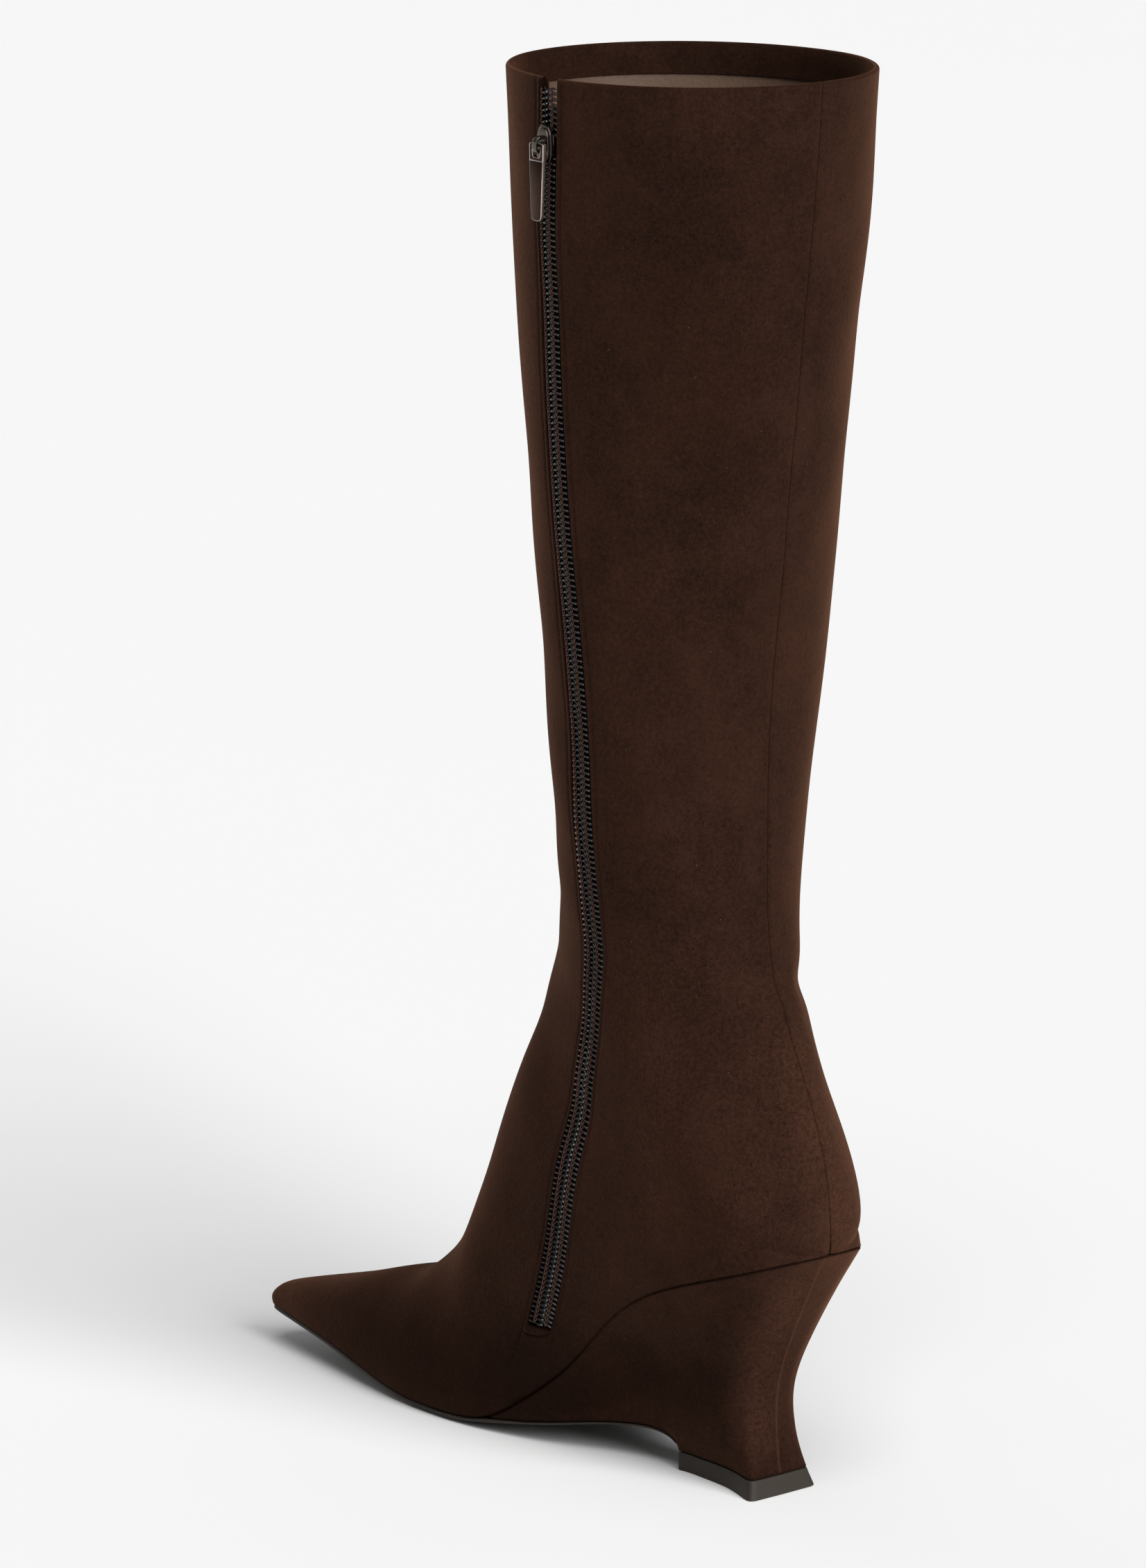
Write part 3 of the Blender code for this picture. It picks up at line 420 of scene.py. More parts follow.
class Skin:
    """Grids of points gathered into one mesh, which can be welded where they touch."""

    def __init__(self):
        self.points, self.shade, self.faces, self.count = [], [], [], 0

    def grid(self, points, shade=0.0, keep=None, flip=False):
        """Quads over points whose rows run up the boot and columns to the lateral side."""
        rows, columns = points.shape[:2]
        index = self.count + np.arange(rows * columns).reshape(rows, columns)
        quads = np.stack([index[:-1, :-1], index[1:, :-1], index[1:, 1:], index[:-1, 1:]], axis=-1)
        quads = quads.reshape(-1, 4) if keep is None else quads[keep]
        self.faces.append(quads[:, ::-1] if flip else quads)
        self.points.append(points.reshape(-1, 3))
        self.shade.append(np.broadcast_to(shade, (rows, columns)).reshape(-1))
        self.count += rows * columns

    def tube(self, path, side, radius, sides):
        """A round thread along a path; side is a direction that the path never follows."""
        heading = unit(np.gradient(path, axis=0))
        across = unit(np.cross(heading, side))[:, None]
        over = unit(np.cross(across[:, 0], heading))[:, None]
        turn = np.linspace(0, 2 * math.pi, sides, endpoint=False)
        turn = np.append(turn, 0.0)[None, :, None]
        radius = np.broadcast_to(radius, len(path))[:, None, None]
        self.grid(path[:, None] + radius * (np.cos(turn) * across + np.sin(turn) * over))

    def build(self, name, look, weld=WELD):
        """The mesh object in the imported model's frame, riding the boot."""
        points = np.concatenate(self.points)
        tables = {"shade": np.concatenate(self.shade)}
        # Welded pieces carry the painted light and shade that the suede reads.
        if weld:
            tables["stroke"] = paint_light_and_shade(points)
        mesh = bpy.data.meshes.new(name)
        place = (points - (*ORIGIN, 0.0)) * MM
        mesh.from_pydata(place.tolist(), [], np.concatenate(self.faces).tolist())
        for title, values in tables.items():
            mesh.attributes.new(title, "FLOAT", "POINT")
            mesh.attributes[title].data.foreach_set("value", values.astype(np.float32))
        return finish_piece(name, mesh, look, "boot", weld)


def finish_piece(name, mesh, look, body, weld=None):
    """Welds and tidies a mesh, gives it a material and makes it ride a body."""
    if weld:
        work = bmesh.new()
        work.from_mesh(mesh)
        bmesh.ops.remove_doubles(work, verts=work.verts, dist=weld * MM)
        bmesh.ops.dissolve_degenerate(work, edges=work.edges, dist=weld * MM / 10)
        work.to_mesh(mesh)
        work.free()
    mesh.validate()
    mesh.shade_smooth()
    mesh.materials.append(look)
    piece = bpy.data.objects.new(name, mesh)
    bpy.context.collection.objects.link(piece)
    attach(piece, body)
    return piece


def turned_in(edge, inward, depths, axis=1):
    """A strip from an edge inwards along its normals, to each of some depths."""
    return np.stack([edge - depth * inward for depth in depths], axis=axis)


# ---- the upper ----

# Distances of the close columns from a seam and from the zip's slot.
SEAM_STEPS = (0.0, 0.12, 0.3, 0.55, 1.0, 1.8)
SLOT_STEPS = (0.0, 0.12, 0.35, 0.7, 1.1, 1.7, 2.3, 2.7, 3.1, 3.5, 4.0, 5.0)
PLAIN_STEPS = (0.0,)
REAR_COLUMNS = 44
FRONT_COLUMNS = 34
LATERAL_COLUMNS = 80
SLOT_COLUMNS = 6
MOST_SLOT = 0.14          # most of the medial side that the slot takes at the toe
CROWDING = 0.35           # most of a stretch that its close columns may take
ROW_STEP = 1.55           # of the section knots
# Rows before and round the slot's lower end, and the step of those before.
END_ROWS = (-0.8, -0.55, -0.3, -0.1, 0.0, 0.1, 0.25, 0.45, 0.7, 1.0, 1.4, 2.0)
END_FROM, END_STEP = -5.0, 0.32
CLOSE_ROWS = 0.3          # rows closer than this share their normals
SEAM_FOLD = 0.35          # radius of the folded edges at the seams
SLOT_FOLD = 0.9           # and along the zip
BACK_FOLD = 0.6           # share of that fold at the sewn back seam
RIM = (0.0, 0.7, 1.6)     # depths of the suede's edge along the slot
UNDER = (0.0, 1.0, 2.6)   # and how far it is turned under at its lower edge
COLLAR_TURN = 0.95
COLLAR_HEM = (1.5, 4.0, 9.0)
# painted shade over the collar's roll and hem
COLLAR_SHADE = 0.15
LINING_THICK = 0.25
HEM_PROUD = 0.4
SOFTNESS = 5.0            # the surface is evened out over this length
SQUARE_FROM = 9.0         # the rows cross the zip squarely up to this far from it
SQUARE_TO = 26.0
RELIEF_FADE = 7.0         # the waves die out this close to the lower edge
SWELL, SWELL_AT, SWELL_WIDTH = 0.12, 1.4, 0.9      # the suede rises beside the back seam
STITCH_OUT = 6.4          # the stitch lines beside the zip, from its centre
STITCHED_TO = 12.0        # where their hollows have died out
FRONT_STITCHES = -26.0, -22.0                      # where they start below the slot's end
REAR_STITCHES = -5.0, -2.0
CHANNEL_DEPTH = 0.22
CHANNEL_WIDTH = 0.55
LIP, LIP_AT, LIP_WIDTH = 0.12, 5.0, 0.8            # the slot's edge swells beside them
BAR_AT = -2.3             # the pressed bar under the slot's end
BAR_HALF = 5.2
BAR_BOW = 0.035
BAR_ENDS = 0.6            # its ends fade over this length
BAR_RISE = 0.5
BAR_WIDTH = 1.0
LINE_DEPTH, LINE_AT, LINE_WIDTH = 0.25, -1.45, 0.4  # the line pressed in below the bar
END_SLANT = 0.3           # the slot's lower end drops this much towards the toe,
END_REACH = 14.0          # up to this far along the zip
# Darkness and width of the painted shade in the back seam, along the slot and under the stitches,
# and darkness of the painted shade in the line below the bar.
BACK_SHADE = 0.5, 0.3
SLOT_SHADE = 0.9, 0.6
STITCH_SHADE = 0.25, 0.7
LINE_SHADE = 0.6
LOWER_WIDTH = 0.5         # width of the painted shade in the seam above the wedge


def spread(length, start, end, count):
    """Distances along a stretch: close together at its ends as listed, even between them."""
    start, end = np.array(start), np.array(end)
    room = length * CROWDING
    start = start * min(1.0, room / max(start[-1], TINY))
    end = end * min(1.0, room / max(end[-1], TINY))
    middle = np.linspace(start[-1], length - end[-1], count + 1)
    return np.concatenate([start[:-1], middle, (length - end[:-1])[::-1]])


def fold(distance, radius):
    """How far a folded edge has turned in at a distance from it."""
    inside = np.clip(radius - np.asarray(distance, float), 0, radius)
    return radius - np.sqrt(np.maximum(radius ** 2 - inside ** 2, 0))


def upper_rows():
    """Knots of the rows, closer together at the toe, the slot's end and the heel's back."""
    back, closed = KNOT_OF["heel back"], KNOT_OF[FIRST_CLOSED]
    return np.concatenate([
        np.linspace(0, 4, 9)[:-1], np.arange(4, ZIP_START + END_FROM - 0.2, ROW_STEP),
        ZIP_START + np.concatenate([np.arange(END_FROM, -0.9, END_STEP), END_ROWS]),
        np.arange(ZIP_START + 3.2, back, ROW_STEP), np.linspace(back, closed, 18),
        np.arange(closed + 0.8, COLLAR - COLLAR_TURN - 0.4, ROW_STEP), [COLLAR - COLLAR_TURN]])


def lining_rows():
    """Knots of the lining's rows, which are plain."""
    return np.concatenate([
        np.arange(9, ZIP_START, 5.0), [ZIP_START], np.arange(ZIP_START + 4, CLOSED_AT, 4.0),
        [CLOSED_AT + TINY], np.arange(CLOSED_AT + 4, COLLAR - 8, 5.0), [COLLAR - 5]])


def evened(points, place, reach):
    """Rows of points at places along a line, each averaged with its neighbours in reach."""
    share = np.gradient(place) * bell(place[:, None] - place, reach)
    return np.einsum("ij,j...->i...", share / share.sum(axis=1, keepdims=True), points)


def end_slant(length):
    """How steeply the rows drop towards the toe at lengths, near the slot's lower end."""
    return END_SLANT * np.clip(1 - np.abs(length) / END_REACH, 0, 1)


class UpperGrid:
    """The upper's surface as a grid of points with their distances from its seams."""

    def __init__(self, line, knots, thin=1):
        points, seam, slot, offset = [], [], [], []
        for at in knots:
            cut = Section(at)
            slant = np.interp(at, line.knots, line.slant)
            girth, zip_at = cut.girth(1), cut.zip
            half = min(slot_half(np.interp(at, line.knots, line.length)) * slant, girth * MOST_SLOT)
            rear = spread(zip_at - half, SEAM_STEPS, SLOT_STEPS, REAR_COLUMNS // thin)
            middle = np.linspace(zip_at - half, zip_at + half, SLOT_COLUMNS + 1)[1:-1]
            front = spread(girth - zip_at - half, SLOT_STEPS, PLAIN_STEPS, FRONT_COLUMNS // thin)
            lateral = spread(cut.girth(-1), SEAM_STEPS, PLAIN_STEPS, LATERAL_COLUMNS // thin)
            lateral = lateral[::-1][1:]
            medial = np.concatenate([rear, middle, zip_at + half + front])
            across = np.concatenate([medial, girth + cut.girth(-1) - lateral]) - zip_at
            points.append(np.concatenate([cut.points(1, medial), cut.points(-1, lateral)]))
            seam.append(np.concatenate([medial, lateral]))
            offset.append(across / slant)
            slot.append(np.abs(across) / slant - half / slant)
        self.knots, self.points = knots, np.array(points)
        self.seam, self.slot, self.offset = np.array(seam), np.array(slot), np.array(offset)
        self.length = np.interp(knots, line.knots, line.length)[:, None]
        self.closed = knots >= CLOSED_AT
        self.gap = len(rear) - 1, len(rear) - 1 + SLOT_COLUMNS
        self.open = knots >= ZIP_START - TINY
        self.soften()
        self.square_up(line)
        self.normal = self.normals()

    def soften(self):
        """Evens out the surface along the boot, away from its lower edge and its ends."""
        place = self.knots
        near = np.maximum(ramp(self.seam, 0, 12) ** 2, ramp(place - CLOSED_AT, 0, 20)[:, None])
        ends = ramp(np.minimum(place - KNOT_OF["instep"], COLLAR - 30 - place), 0, 15)
        share = (near * ends[:, None])[..., None]
        self.points += share * (evened(self.points, place, SOFTNESS) - self.points)

    def square_up(self, line):
        """Slides points along the boot so that near the zip the rows cross it squarely."""
        knots = self.knots
        skew = np.interp(knots, line.knots, line.skew)[:, None] + end_slant(self.length)
        reach = ramp(np.abs(self.offset), SQUARE_TO, SQUARE_FROM)
        ends = ramp(knots, COLLAR, COLLAR - 30) * ramp(knots, ZIP_START - 30, ZIP_START - 15)
        moved = knots[:, None] - self.offset * skew * reach ** 2 * (3 - 2 * reach) * ends[:, None]
        row = np.interp(moved, knots, np.arange(len(knots)))
        low = np.clip(row.astype(int), 0, len(knots) - 2)
        share = row - low
        column = np.arange(self.offset.shape[1])[None, :]
        for name in ("points", "seam", "slot", "offset"):
            table = getattr(self, name)
            part = share[..., None] if table.ndim == 3 else share
            setattr(self, name, table[low, column] * (1 - part) + table[low + 1, column] * part)

    def normals(self):
        """Directions out of the surface, taken over more rows where the rows are close."""
        points, closed = self.points, self.closed
        across = np.gradient(points, axis=1)
        across[closed, 0] = across[closed, -1] = (points[closed, 1] - points[closed, -2]) / 2
        up = np.gradient(points, axis=0)
        for k in np.flatnonzero(np.diff(self.knots) < CLOSE_ROWS):
            up[k] = points[min(k + 4, len(up) - 1)] - points[max(k - 4, 0)]
        return unit(np.cross(up, across))


def stitched_part(grid):
    """1 beside the zip and below its front stitch line, fading out at the lower ends."""
    fade = np.where(grid.offset > 0, ramp(grid.length, *FRONT_STITCHES),
                    ramp(grid.length, *REAR_STITCHES))
    return fade * (np.abs(grid.offset) < STITCHED_TO)


def stitch_channel(grid):
    """Depth of the groove that the stitches beside the zip pull into the suede."""
    aside = np.abs(grid.offset)
    groove = CHANNEL_DEPTH * bell(aside - STITCH_OUT, CHANNEL_WIDTH)
    return stitched_part(grid) * (groove - LIP * bell(aside - LIP_AT, LIP_WIDTH))


def end_bar(grid):
    """The bar that is pressed across the suede under the slot, and the line below it."""
    above = grid.length - (BAR_AT + BAR_BOW * grid.offset ** 2 - END_SLANT * grid.offset)
    reach = (1 - np.tanh((np.abs(grid.offset) - BAR_HALF) / BAR_ENDS)) / 2
    line = bell(above - LINE_AT, LINE_WIDTH)
    return reach * (BAR_RISE * bell(above, BAR_WIDTH, 4) - LINE_DEPTH * line), reach * line


def seam_strength(y):
    """How dark the painted shade in the seam above the wedge is; it is softest below the ankle."""
    return np.interp(y, (-120.0, -85.0, -50.0, -15.0, 20.0), (0.8, 0.7, 0.4, 0.7, 0.9))


def soft_upper(grid):
    """The upper's points with its folds, waves, creases and stitch channels, and its shade."""
    closed = grid.closed[:, None]
    height = relief(grid.points) * np.where(closed, 1, ramp(grid.seam, 0, RELIEF_FADE))
    height -= fold(grid.seam, SEAM_FOLD) * np.where(closed, BACK_FOLD, 1.0)
    height += closed * SWELL * bell(grid.seam - SWELL_AT, SWELL_WIDTH)
    from_slot = np.hypot(np.maximum(grid.slot, 0), np.maximum(-grid.length, 0))
    height -= fold(from_slot, SLOT_FOLD)
    bar, line = end_bar(grid)
    height += bar - stitch_channel(grid)

    def shaded(distance, darkness, width):
        return darkness * bell(distance, width)

    lower = shaded(grid.seam, seam_strength(grid.points[..., 1]), LOWER_WIDTH)
    stitched = shaded(np.abs(grid.offset) - STITCH_OUT, *STITCH_SHADE) * stitched_part(grid)
    shade = np.maximum.reduce([np.where(closed, shaded(grid.seam, *BACK_SHADE), lower),
                               shaded(from_slot, *SLOT_SHADE), stitched, LINE_SHADE * line])
    return grid.points + height[..., None] * grid.normal, shade


def collar_turn(edge, normal, along):
    """Rows that roll the suede over the collar and down inside it, along the wall."""
    rows = []
    for turn in np.linspace(0, math.pi, 8)[1:]:
        rise, depth = COLLAR_TURN * math.sin(turn), COLLAR_TURN * (1 - math.cos(turn))
        rows.append(edge + (0, 0, rise) - depth * normal)
    for drop in COLLAR_HEM:
        rows.append(edge - drop * along - (2 * COLLAR_TURN + HEM_PROUD) * normal)
    return np.array(rows)


class BOOT_OT_upper(bpy.types.Operator):
    """Make the suede upper, with its zip slot, back seam, creases and turned collar"""
    bl_idname = "boot.upper"
    bl_label = "Upper"

    def execute(self, context):
        line = ZipLine()
        grid = UpperGrid(line, upper_rows())
        points, shade = soft_upper(grid)
        rows, columns = shade.shape
        left, right = grid.gap
        first = np.flatnonzero(grid.open)[0]
        collar = collar_turn(points[-1], grid.normal[-1], unit(points[-1] - points[-6]))
        keep = np.ones((rows + len(collar) - 1, columns - 1), bool)
        keep[first:, left:right] = False
        skin = Skin()
        skin.grid(np.concatenate([points, collar]),
                  np.concatenate([shade, np.full((len(collar), columns), COLLAR_SHADE)]), keep)
        # The suede turned in along the slot and under the lower edge is painted in full shade.
        for column, flip in ((left, False), (right, True)):
            side = np.s_[first:, column]
            skin.grid(turned_in(points[side], grid.normal[side], RIM), 1.0, flip=flip)
        end = np.s_[first, left:right + 1]
        skin.grid(turned_in(points[end], grid.normal[end], RIM, axis=0), 1.0, flip=True)
        for column, flip in ((0, True), (columns - 1, False)):
            inward = grid.normal[~grid.closed, column] * (1, 1, 0)
            skin.grid(turned_in(points[~grid.closed, column], inward, UNDER), 1.0, flip=flip)
        piece = skin.build("upper_suede", suede("suede_upper"))
        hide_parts("upper")

        inner = UpperGrid(line, lining_rows(), thin=3)
        keep = np.ones((len(inner.knots) - 1, inner.seam.shape[1] - 1), bool)
        keep[inner.open[:-1], inner.gap[0]:inner.gap[1]] = False
        rise = relief(inner.points) * ramp(inner.seam, 0, RELIEF_FADE) - WALL + LINING_THICK
        lining = Skin()
        lining.grid(inner.points + rise[..., None] * inner.normal, 0.0, keep, flip=True)
        piece = lining.build("upper_lining", lining_leather("lining_leather"))
        return {"FINISHED"}


# ---- the wedge, the sole sheet and the heel tap ----

ROUND_BACK = 14.0         # the wall's last stretch, where its lines are close,
BACK_LINES = 44           # and how many they are
WEDGE_FOLD = 0.35
SEAM_ASIDE = 4            # the wedge's back seam is this many wall lines to the medial side,
SEAM_RISE, SEAM_WIDTH = 0.12, 0.5                  # stands out this much,
SEAM_HIGHLIGHT, HIGHLIGHT_WIDTH = 0.4, 0.4                   # and carries a painted highlight
WEDGE_TOP_WIDTH = 0.6     # width of the painted shade under the upper
FOOT_SHADE = 0.6, 0.7     # darkness and width of the painted shade above the tap
SHEET_ACROSS = 26
SHEET_BEVEL = 0.35

def lower_edge():
    """The upper's lower edge on each side, from the toe to the back of the heel."""
    knots = np.concatenate([np.linspace(0, 4, 9)[:-1], np.arange(4, KNOT_OF["heel back"], 1.5),
                            np.linspace(KNOT_OF["heel back"], CLOSED_AT + TINY, 26)])
    cuts = [Section(at, 12) for at in knots]
    return {side: np.array([cut.halves[side][0][0] for cut in cuts]) for side in (1, -1)}


EDGES = lower_edge()


def edge_point(y, side):
    """Points of the upper's lower edge at given y on one side."""
    return sample(EDGES[side], EDGES[side][:, 1], y)


def sheet_thickness(y):
    """The sole sheet thins from the ball to the arch."""
    return np.interp(y, (THIN_FROM, THIN_TO), (OUTSOLE_THICK, SHANK_THICK))


def wedge_starts(step=1.2):
    """The y at the seam of the wedge's wall lines, closest together round its back."""
    first, last = GRADE * WEDGE["front"][0], GRADE * WEDGE["back"][0]
    plain = np.arange(first, last - ROUND_BACK, step)
    turn = last - ROUND_BACK * (1 - np.sin(np.linspace(0, math.pi / 2, BACK_LINES)))
    return np.concatenate([plain[plain < turn[0] - 0.2], turn])


def wedge_rings(levels, starts):
    """The wedge's wall as rings from its lower edge (share 0) to the seam (share 1)."""
    rows = np.array(list(WEDGE.values())) * GRADE
    table = dict(zip(WEDGE_COLUMNS, spline(rows[:, 0], rows)(starts).T))
    ends = []
    for side, letter, order in ((1, "m", slice(None)), (-1, "l", slice(-2, None, -1))):
        y = table["bottom_y"][order]
        low = np.where(y < TAP_FRONT, sole_height(y) + sheet_thickness(y), TAP_TOP) + GAP
        top = edge_point(table["top_y"][order], side) - (0, 0, GAP)
        bottom = [side * table["bottom_" + letter][order], y, low]
        waist = [side * table["waist_" + letter][order], table["waist_y"][order], 0 * y]
        ends.append((top, np.stack(waist, axis=1), np.stack(bottom, axis=1)))
    top, waist, bottom = (np.concatenate(pair) for pair in zip(*ends))
    top[len(starts) - 1, 0] = 0.0
    even = evened(bottom[:, 2], run_length(top), SOFTNESS)
    rings = []
    for share in levels:
        if share > WAIST_SHARE:
            end, away = top, ((share - WAIST_SHARE) / (1 - WAIST_SHARE)) ** ABOVE_WAIST
        else:
            end, away = bottom, (1 - share / WAIST_SHARE) ** BELOW_WAIST
        ring = waist + away * (end - waist)
        low = even + (bottom[:, 2] - even) * bell(share, FOOT_SHARE)
        ring[:, 2] = low + share * (top[:, 2] - low)
        rings.append(ring)
    return np.array(rings)


def even_levels(count=54):
    """Shares of the wedge's height, close together at its seam and lower edge."""
    close = np.array([0.0, 0.003, 0.008, 0.016])
    return np.concatenate([close, np.linspace(0.03, 0.965, count), 1 - close[::-1]])


class BOOT_OT_wedge(bpy.types.Operator):
    """Make the suede cover of the wedge heel, with its back seam and folded edges"""
    bl_idname = "boot.wedge"
    bl_label = "Wedge heel"

    def execute(self, context):
        starts, levels = wedge_starts(), even_levels()
        rings = wedge_rings(levels, starts)
        middle = len(starts) - 1
        place = levels * (rings[-1, middle, 2] - rings[0, middle, 2])
        near = ramp(np.minimum(place, place[-1] - place), 0, 3 * SOFTNESS) ** 1.5
        rings = rings + near[:, None, None] * (evened(rings, place, 2 * SOFTNESS) - rings)
        normal = unit(np.cross(np.gradient(rings, axis=1), np.gradient(rings, axis=0)))
        length = np.array([run_length(ring) for ring in rings])
        from_back = length - length[:, middle - SEAM_ASIDE, None]
        from_foot = np.array([run_length(column) for column in np.swapaxes(rings, 0, 1)]).T
        from_top = from_foot[-1:] - from_foot
        height = relief(rings) * ramp(np.minimum(from_top, from_foot), 0, RELIEF_FADE)
        height -= fold(from_top, WEDGE_FOLD) + fold(from_foot, WEDGE_FOLD)
        height += SEAM_RISE * bell(from_back, SEAM_WIDTH)
        points = rings + height[..., None] * normal
        top_shade = seam_strength(rings[..., 1]) * bell(from_top, WEDGE_TOP_WIDTH)
        shade = np.maximum(top_shade, FOOT_SHADE[0] * bell(from_foot, FOOT_SHADE[1]))
        skin = Skin()
        # Below 0 the shade paints a highlight along the wedge's back seam.
        skin.grid(points, shade - SEAM_HIGHLIGHT * bell(from_back, HIGHLIGHT_WIDTH), flip=True)
        # The turned-under edges are painted in full shade.
        for end, flip in ((-1, True), (0, False)):
            inward = unit(normal[end] * (1, 1, 0))
            skin.grid(turned_in(points[end], inward, UNDER, axis=0), 1.0, flip=flip)
        piece = skin.build("wedge_cover", suede("suede_wedge"))
        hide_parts("wedge_heel")
        return {"FINISHED"}


def sheet_lines():
    """Lines across the sole sheet from the toe to its rear end: y, medial x, lateral x."""
    seat = wedge_rings([0.0], wedge_starts(2.0))[0]
    start = EDGES[1][0, 1] + SOLE_INSET
    y = np.concatenate([start + np.array([0, 0.3, 0.8, 1.6]),
                        np.arange(start + 3, seat[0, 1] - 0.5, 2.0)])
    front = [y, edge_point(y, 1)[:, 0] - SOLE_INSET, edge_point(y, -1)[:, 0] + SOLE_INSET]
    half = len(seat) // 2
    near, far = seat[:half], seat[::-1][:half]
    use = near[:, 1] < TAP_FRONT
    rear = [near[use, 1], near[use, 0], far[use, 0]]
    return np.concatenate([np.stack(front, axis=1), np.stack(rear, axis=1)])


def sheet_loop(y, medial, lateral):
    """A closed line round the sole sheet across the boot: its underside, then its top."""
    base = float(sole_height(y))
    bed = float(np.interp(y, EDGES[1][:, 1], EDGES[1][:, 2]))
    top = min(base + float(sheet_thickness(y)), bed - GAP)
    share = np.linspace(-1, 1, SHEET_ACROSS)
    middle, half = (medial + lateral) / 2, (medial - lateral) / 2
    edge = base + EDGE_LIFT * np.clip(2 * abs(share) - 1, 0, 1)
    bevel = SHEET_BEVEL
    under = np.stack([middle - share * (half - bevel), np.full_like(share, y), edge], axis=1)
    lip = edge[0] + bevel
    over = [(lateral, y, lip), (lateral, y, top - bevel), (lateral + bevel, y, top),
            (medial - bevel, y, top), (medial, y, top - bevel), (medial, y, lip)]
    return np.concatenate([under, over, under[:1]])


# Height, share of the flare and inset of each ring of the heel tap.
TAP_PROFILE = ((0.0, 0.9, 0.5), (0.12, 0.96, 0.18), (0.4, 1.0, 0.0), (2.4, 0.62, 0.0),
               (4.2, 0.28, 0.0), (TAP_TOP - 0.25, 0.04, 0.0), (TAP_TOP - 0.06, 0.01, 0.08),
               (TAP_TOP, 0.0, 0.3))


def tap_rings():
    """The heel tap's rings from the floor up, each end closed to a point."""
    seat = wedge_rings([0.0], wedge_starts(1.0))[0]
    seat = seat[seat[:, 1] > TAP_FRONT] * (1, 1, 0)
    seat = np.concatenate([seat, np.linspace(seat[-1], seat[0], 14)[1:]])
    x, y = seat[:, 0], seat[:, 1]
    back = np.interp(y, (y[0], y.max()), (0.0, 1.0)) ** TAP_FLARE_GROWTH
    side = np.interp(np.abs(x), (0.0, TAP_HALF), (0.0, 1.0)) * np.sign(x)
    flare = np.stack([TAP_FLARE_SIDE * back * side, TAP_FLARE_BACK * back, 0 * back], axis=1)
    centre = np.array([0.0, (y.max() + y.min()) / 2, 0.0])
    rings = []
    for height, share, inset in TAP_PROFILE:
        ring = seat + share * flare
        rings.append(ring - inset * unit(ring - centre) + (0, 0, height))
    return np.array([rings[0] * (0, 0, 1) + centre, *rings, rings[-1] * (0, 0, 1) + centre])


class BOOT_OT_sole(bpy.types.Operator):
    """Make the thin rubber sole sheet and the heel tap"""
    bl_idname = "boot.sole"
    bl_label = "Sole and heel tap"

    def execute(self, context):
        look = rubber("rubber_sole")
        loops = np.array([sheet_loop(*line) for line in sheet_lines()])
        ends = [np.broadcast_to(end.mean(axis=0), end.shape) for end in (loops[0], loops[-1])]
        skin = Skin()
        skin.grid(np.array([ends[0], *loops, ends[1]]))
        piece = skin.build("outsole_sheet", look)
        sharpen(piece, 45)
        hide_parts("outsole")

        tap = Skin()
        tap.grid(tap_rings(), flip=True)
        piece = tap.build("heel_tap_block", look)
        sharpen(piece, 40)
        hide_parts("heel_tap")
        return {"FINISHED"}


def sharpen(piece, degrees):
    """Keeps the edges of a hard piece crisp."""
    piece.data.set_sharp_from_angle(angle=math.radians(degrees))


# ---- the zip ----

CHAIN_DEPTH = 0.62        # the coils' middle, below the suede
COIL_OUT = 1.66           # middle of a coil from the zip's centre
COIL_HALF = 2.02          # half width and half height of its loops
COIL_RISE = 0.58
HEAD_BULGE = 0.6          # the wire is flattened wider where the coils interlock
HEAD_LIFT = 0.15          # the front coil's heads stand this much higher
HEAD_SINK = 0.35          # and the rear coil's this much lower than their loops
THREAD_BITE = 0.35        # the thread pinches the wire by this share,
THREAD_PRESS = 0.15       # presses it this much lower
THREAD_WIDTH = 0.3        # and does so over this share of the loop
OPEN_SPREAD = 0.75        # how far each coil moves out above the slider
CHAIN_FOOT = 0.5          # lowest coil above the slot's end
CHAIN_HEAD = 3.0          # and the highest below the collar
THREAD_OUT = 1.74         # middle of a chevron from the zip's centre
# One arm of a chevron: across the zip, along it as a share of the pitch, and height.
CHEVRON = ((-0.48, 0.46, -0.20), (-0.40, 0.26, 0.02), (-0.17, -0.12, 0.12), (0.0, -0.50, -0.12))
CHEVRON_THICK = 0.58      # its radius as a share of the thread's diameter
COIL_STEPS = 15           # points of a loop
LOOP_ENDS, LOOP_SIDES = 0.75, 0.6                  # how square a loop is
SLIDER_LENGTH = 11.5


def slider_place(line):
    """Length along the zip at which the slider stands."""
    return float(np.interp(COLLAR - SLIDER_BELOW, line.knots, line.length))


def parting(line, length):
    """How far each coil stands aside, from 0 under the slider to full above it."""
    return OPEN_SPREAD * ramp(length - slider_place(line), 1, 6)


def coil_path(line, side, sizes):
    """The path of one nylon coil: flattened loops whose heads cross the zip's middle."""
    pitch = sizes.coil_pitch / MM
    turns = int((line.end - CHAIN_HEAD - CHAIN_FOOT) / pitch)
    turn = np.linspace(0, 2 * math.pi * turns, turns * COIL_STEPS)
    length = CHAIN_FOOT + pitch * turn / (2 * math.pi) + (pitch / 2 if side < 0 else 0.0)
    length = length - side * COIL_OUT * end_slant(length)
    swing, lift = np.cos(turn), np.sin(turn)
    across = COIL_OUT + COIL_HALF * np.sign(swing) * np.abs(swing) ** LOOP_ENDS
    height = COIL_RISE * np.sign(lift) * np.abs(lift) ** LOOP_SIDES - CHAIN_DEPTH
    across = side * (across + parting(line, length))
    head, under = np.clip(-swing, 0, 1), bell(swing, THREAD_WIDTH)
    bulge = 1 - THREAD_BITE * under + HEAD_BULGE * head * (side > 0)
    height = height + head * (HEAD_LIFT if side > 0 else -HEAD_SINK) - THREAD_PRESS * under
    return line.chain(length, across, height), line.axes(length)[2], bulge


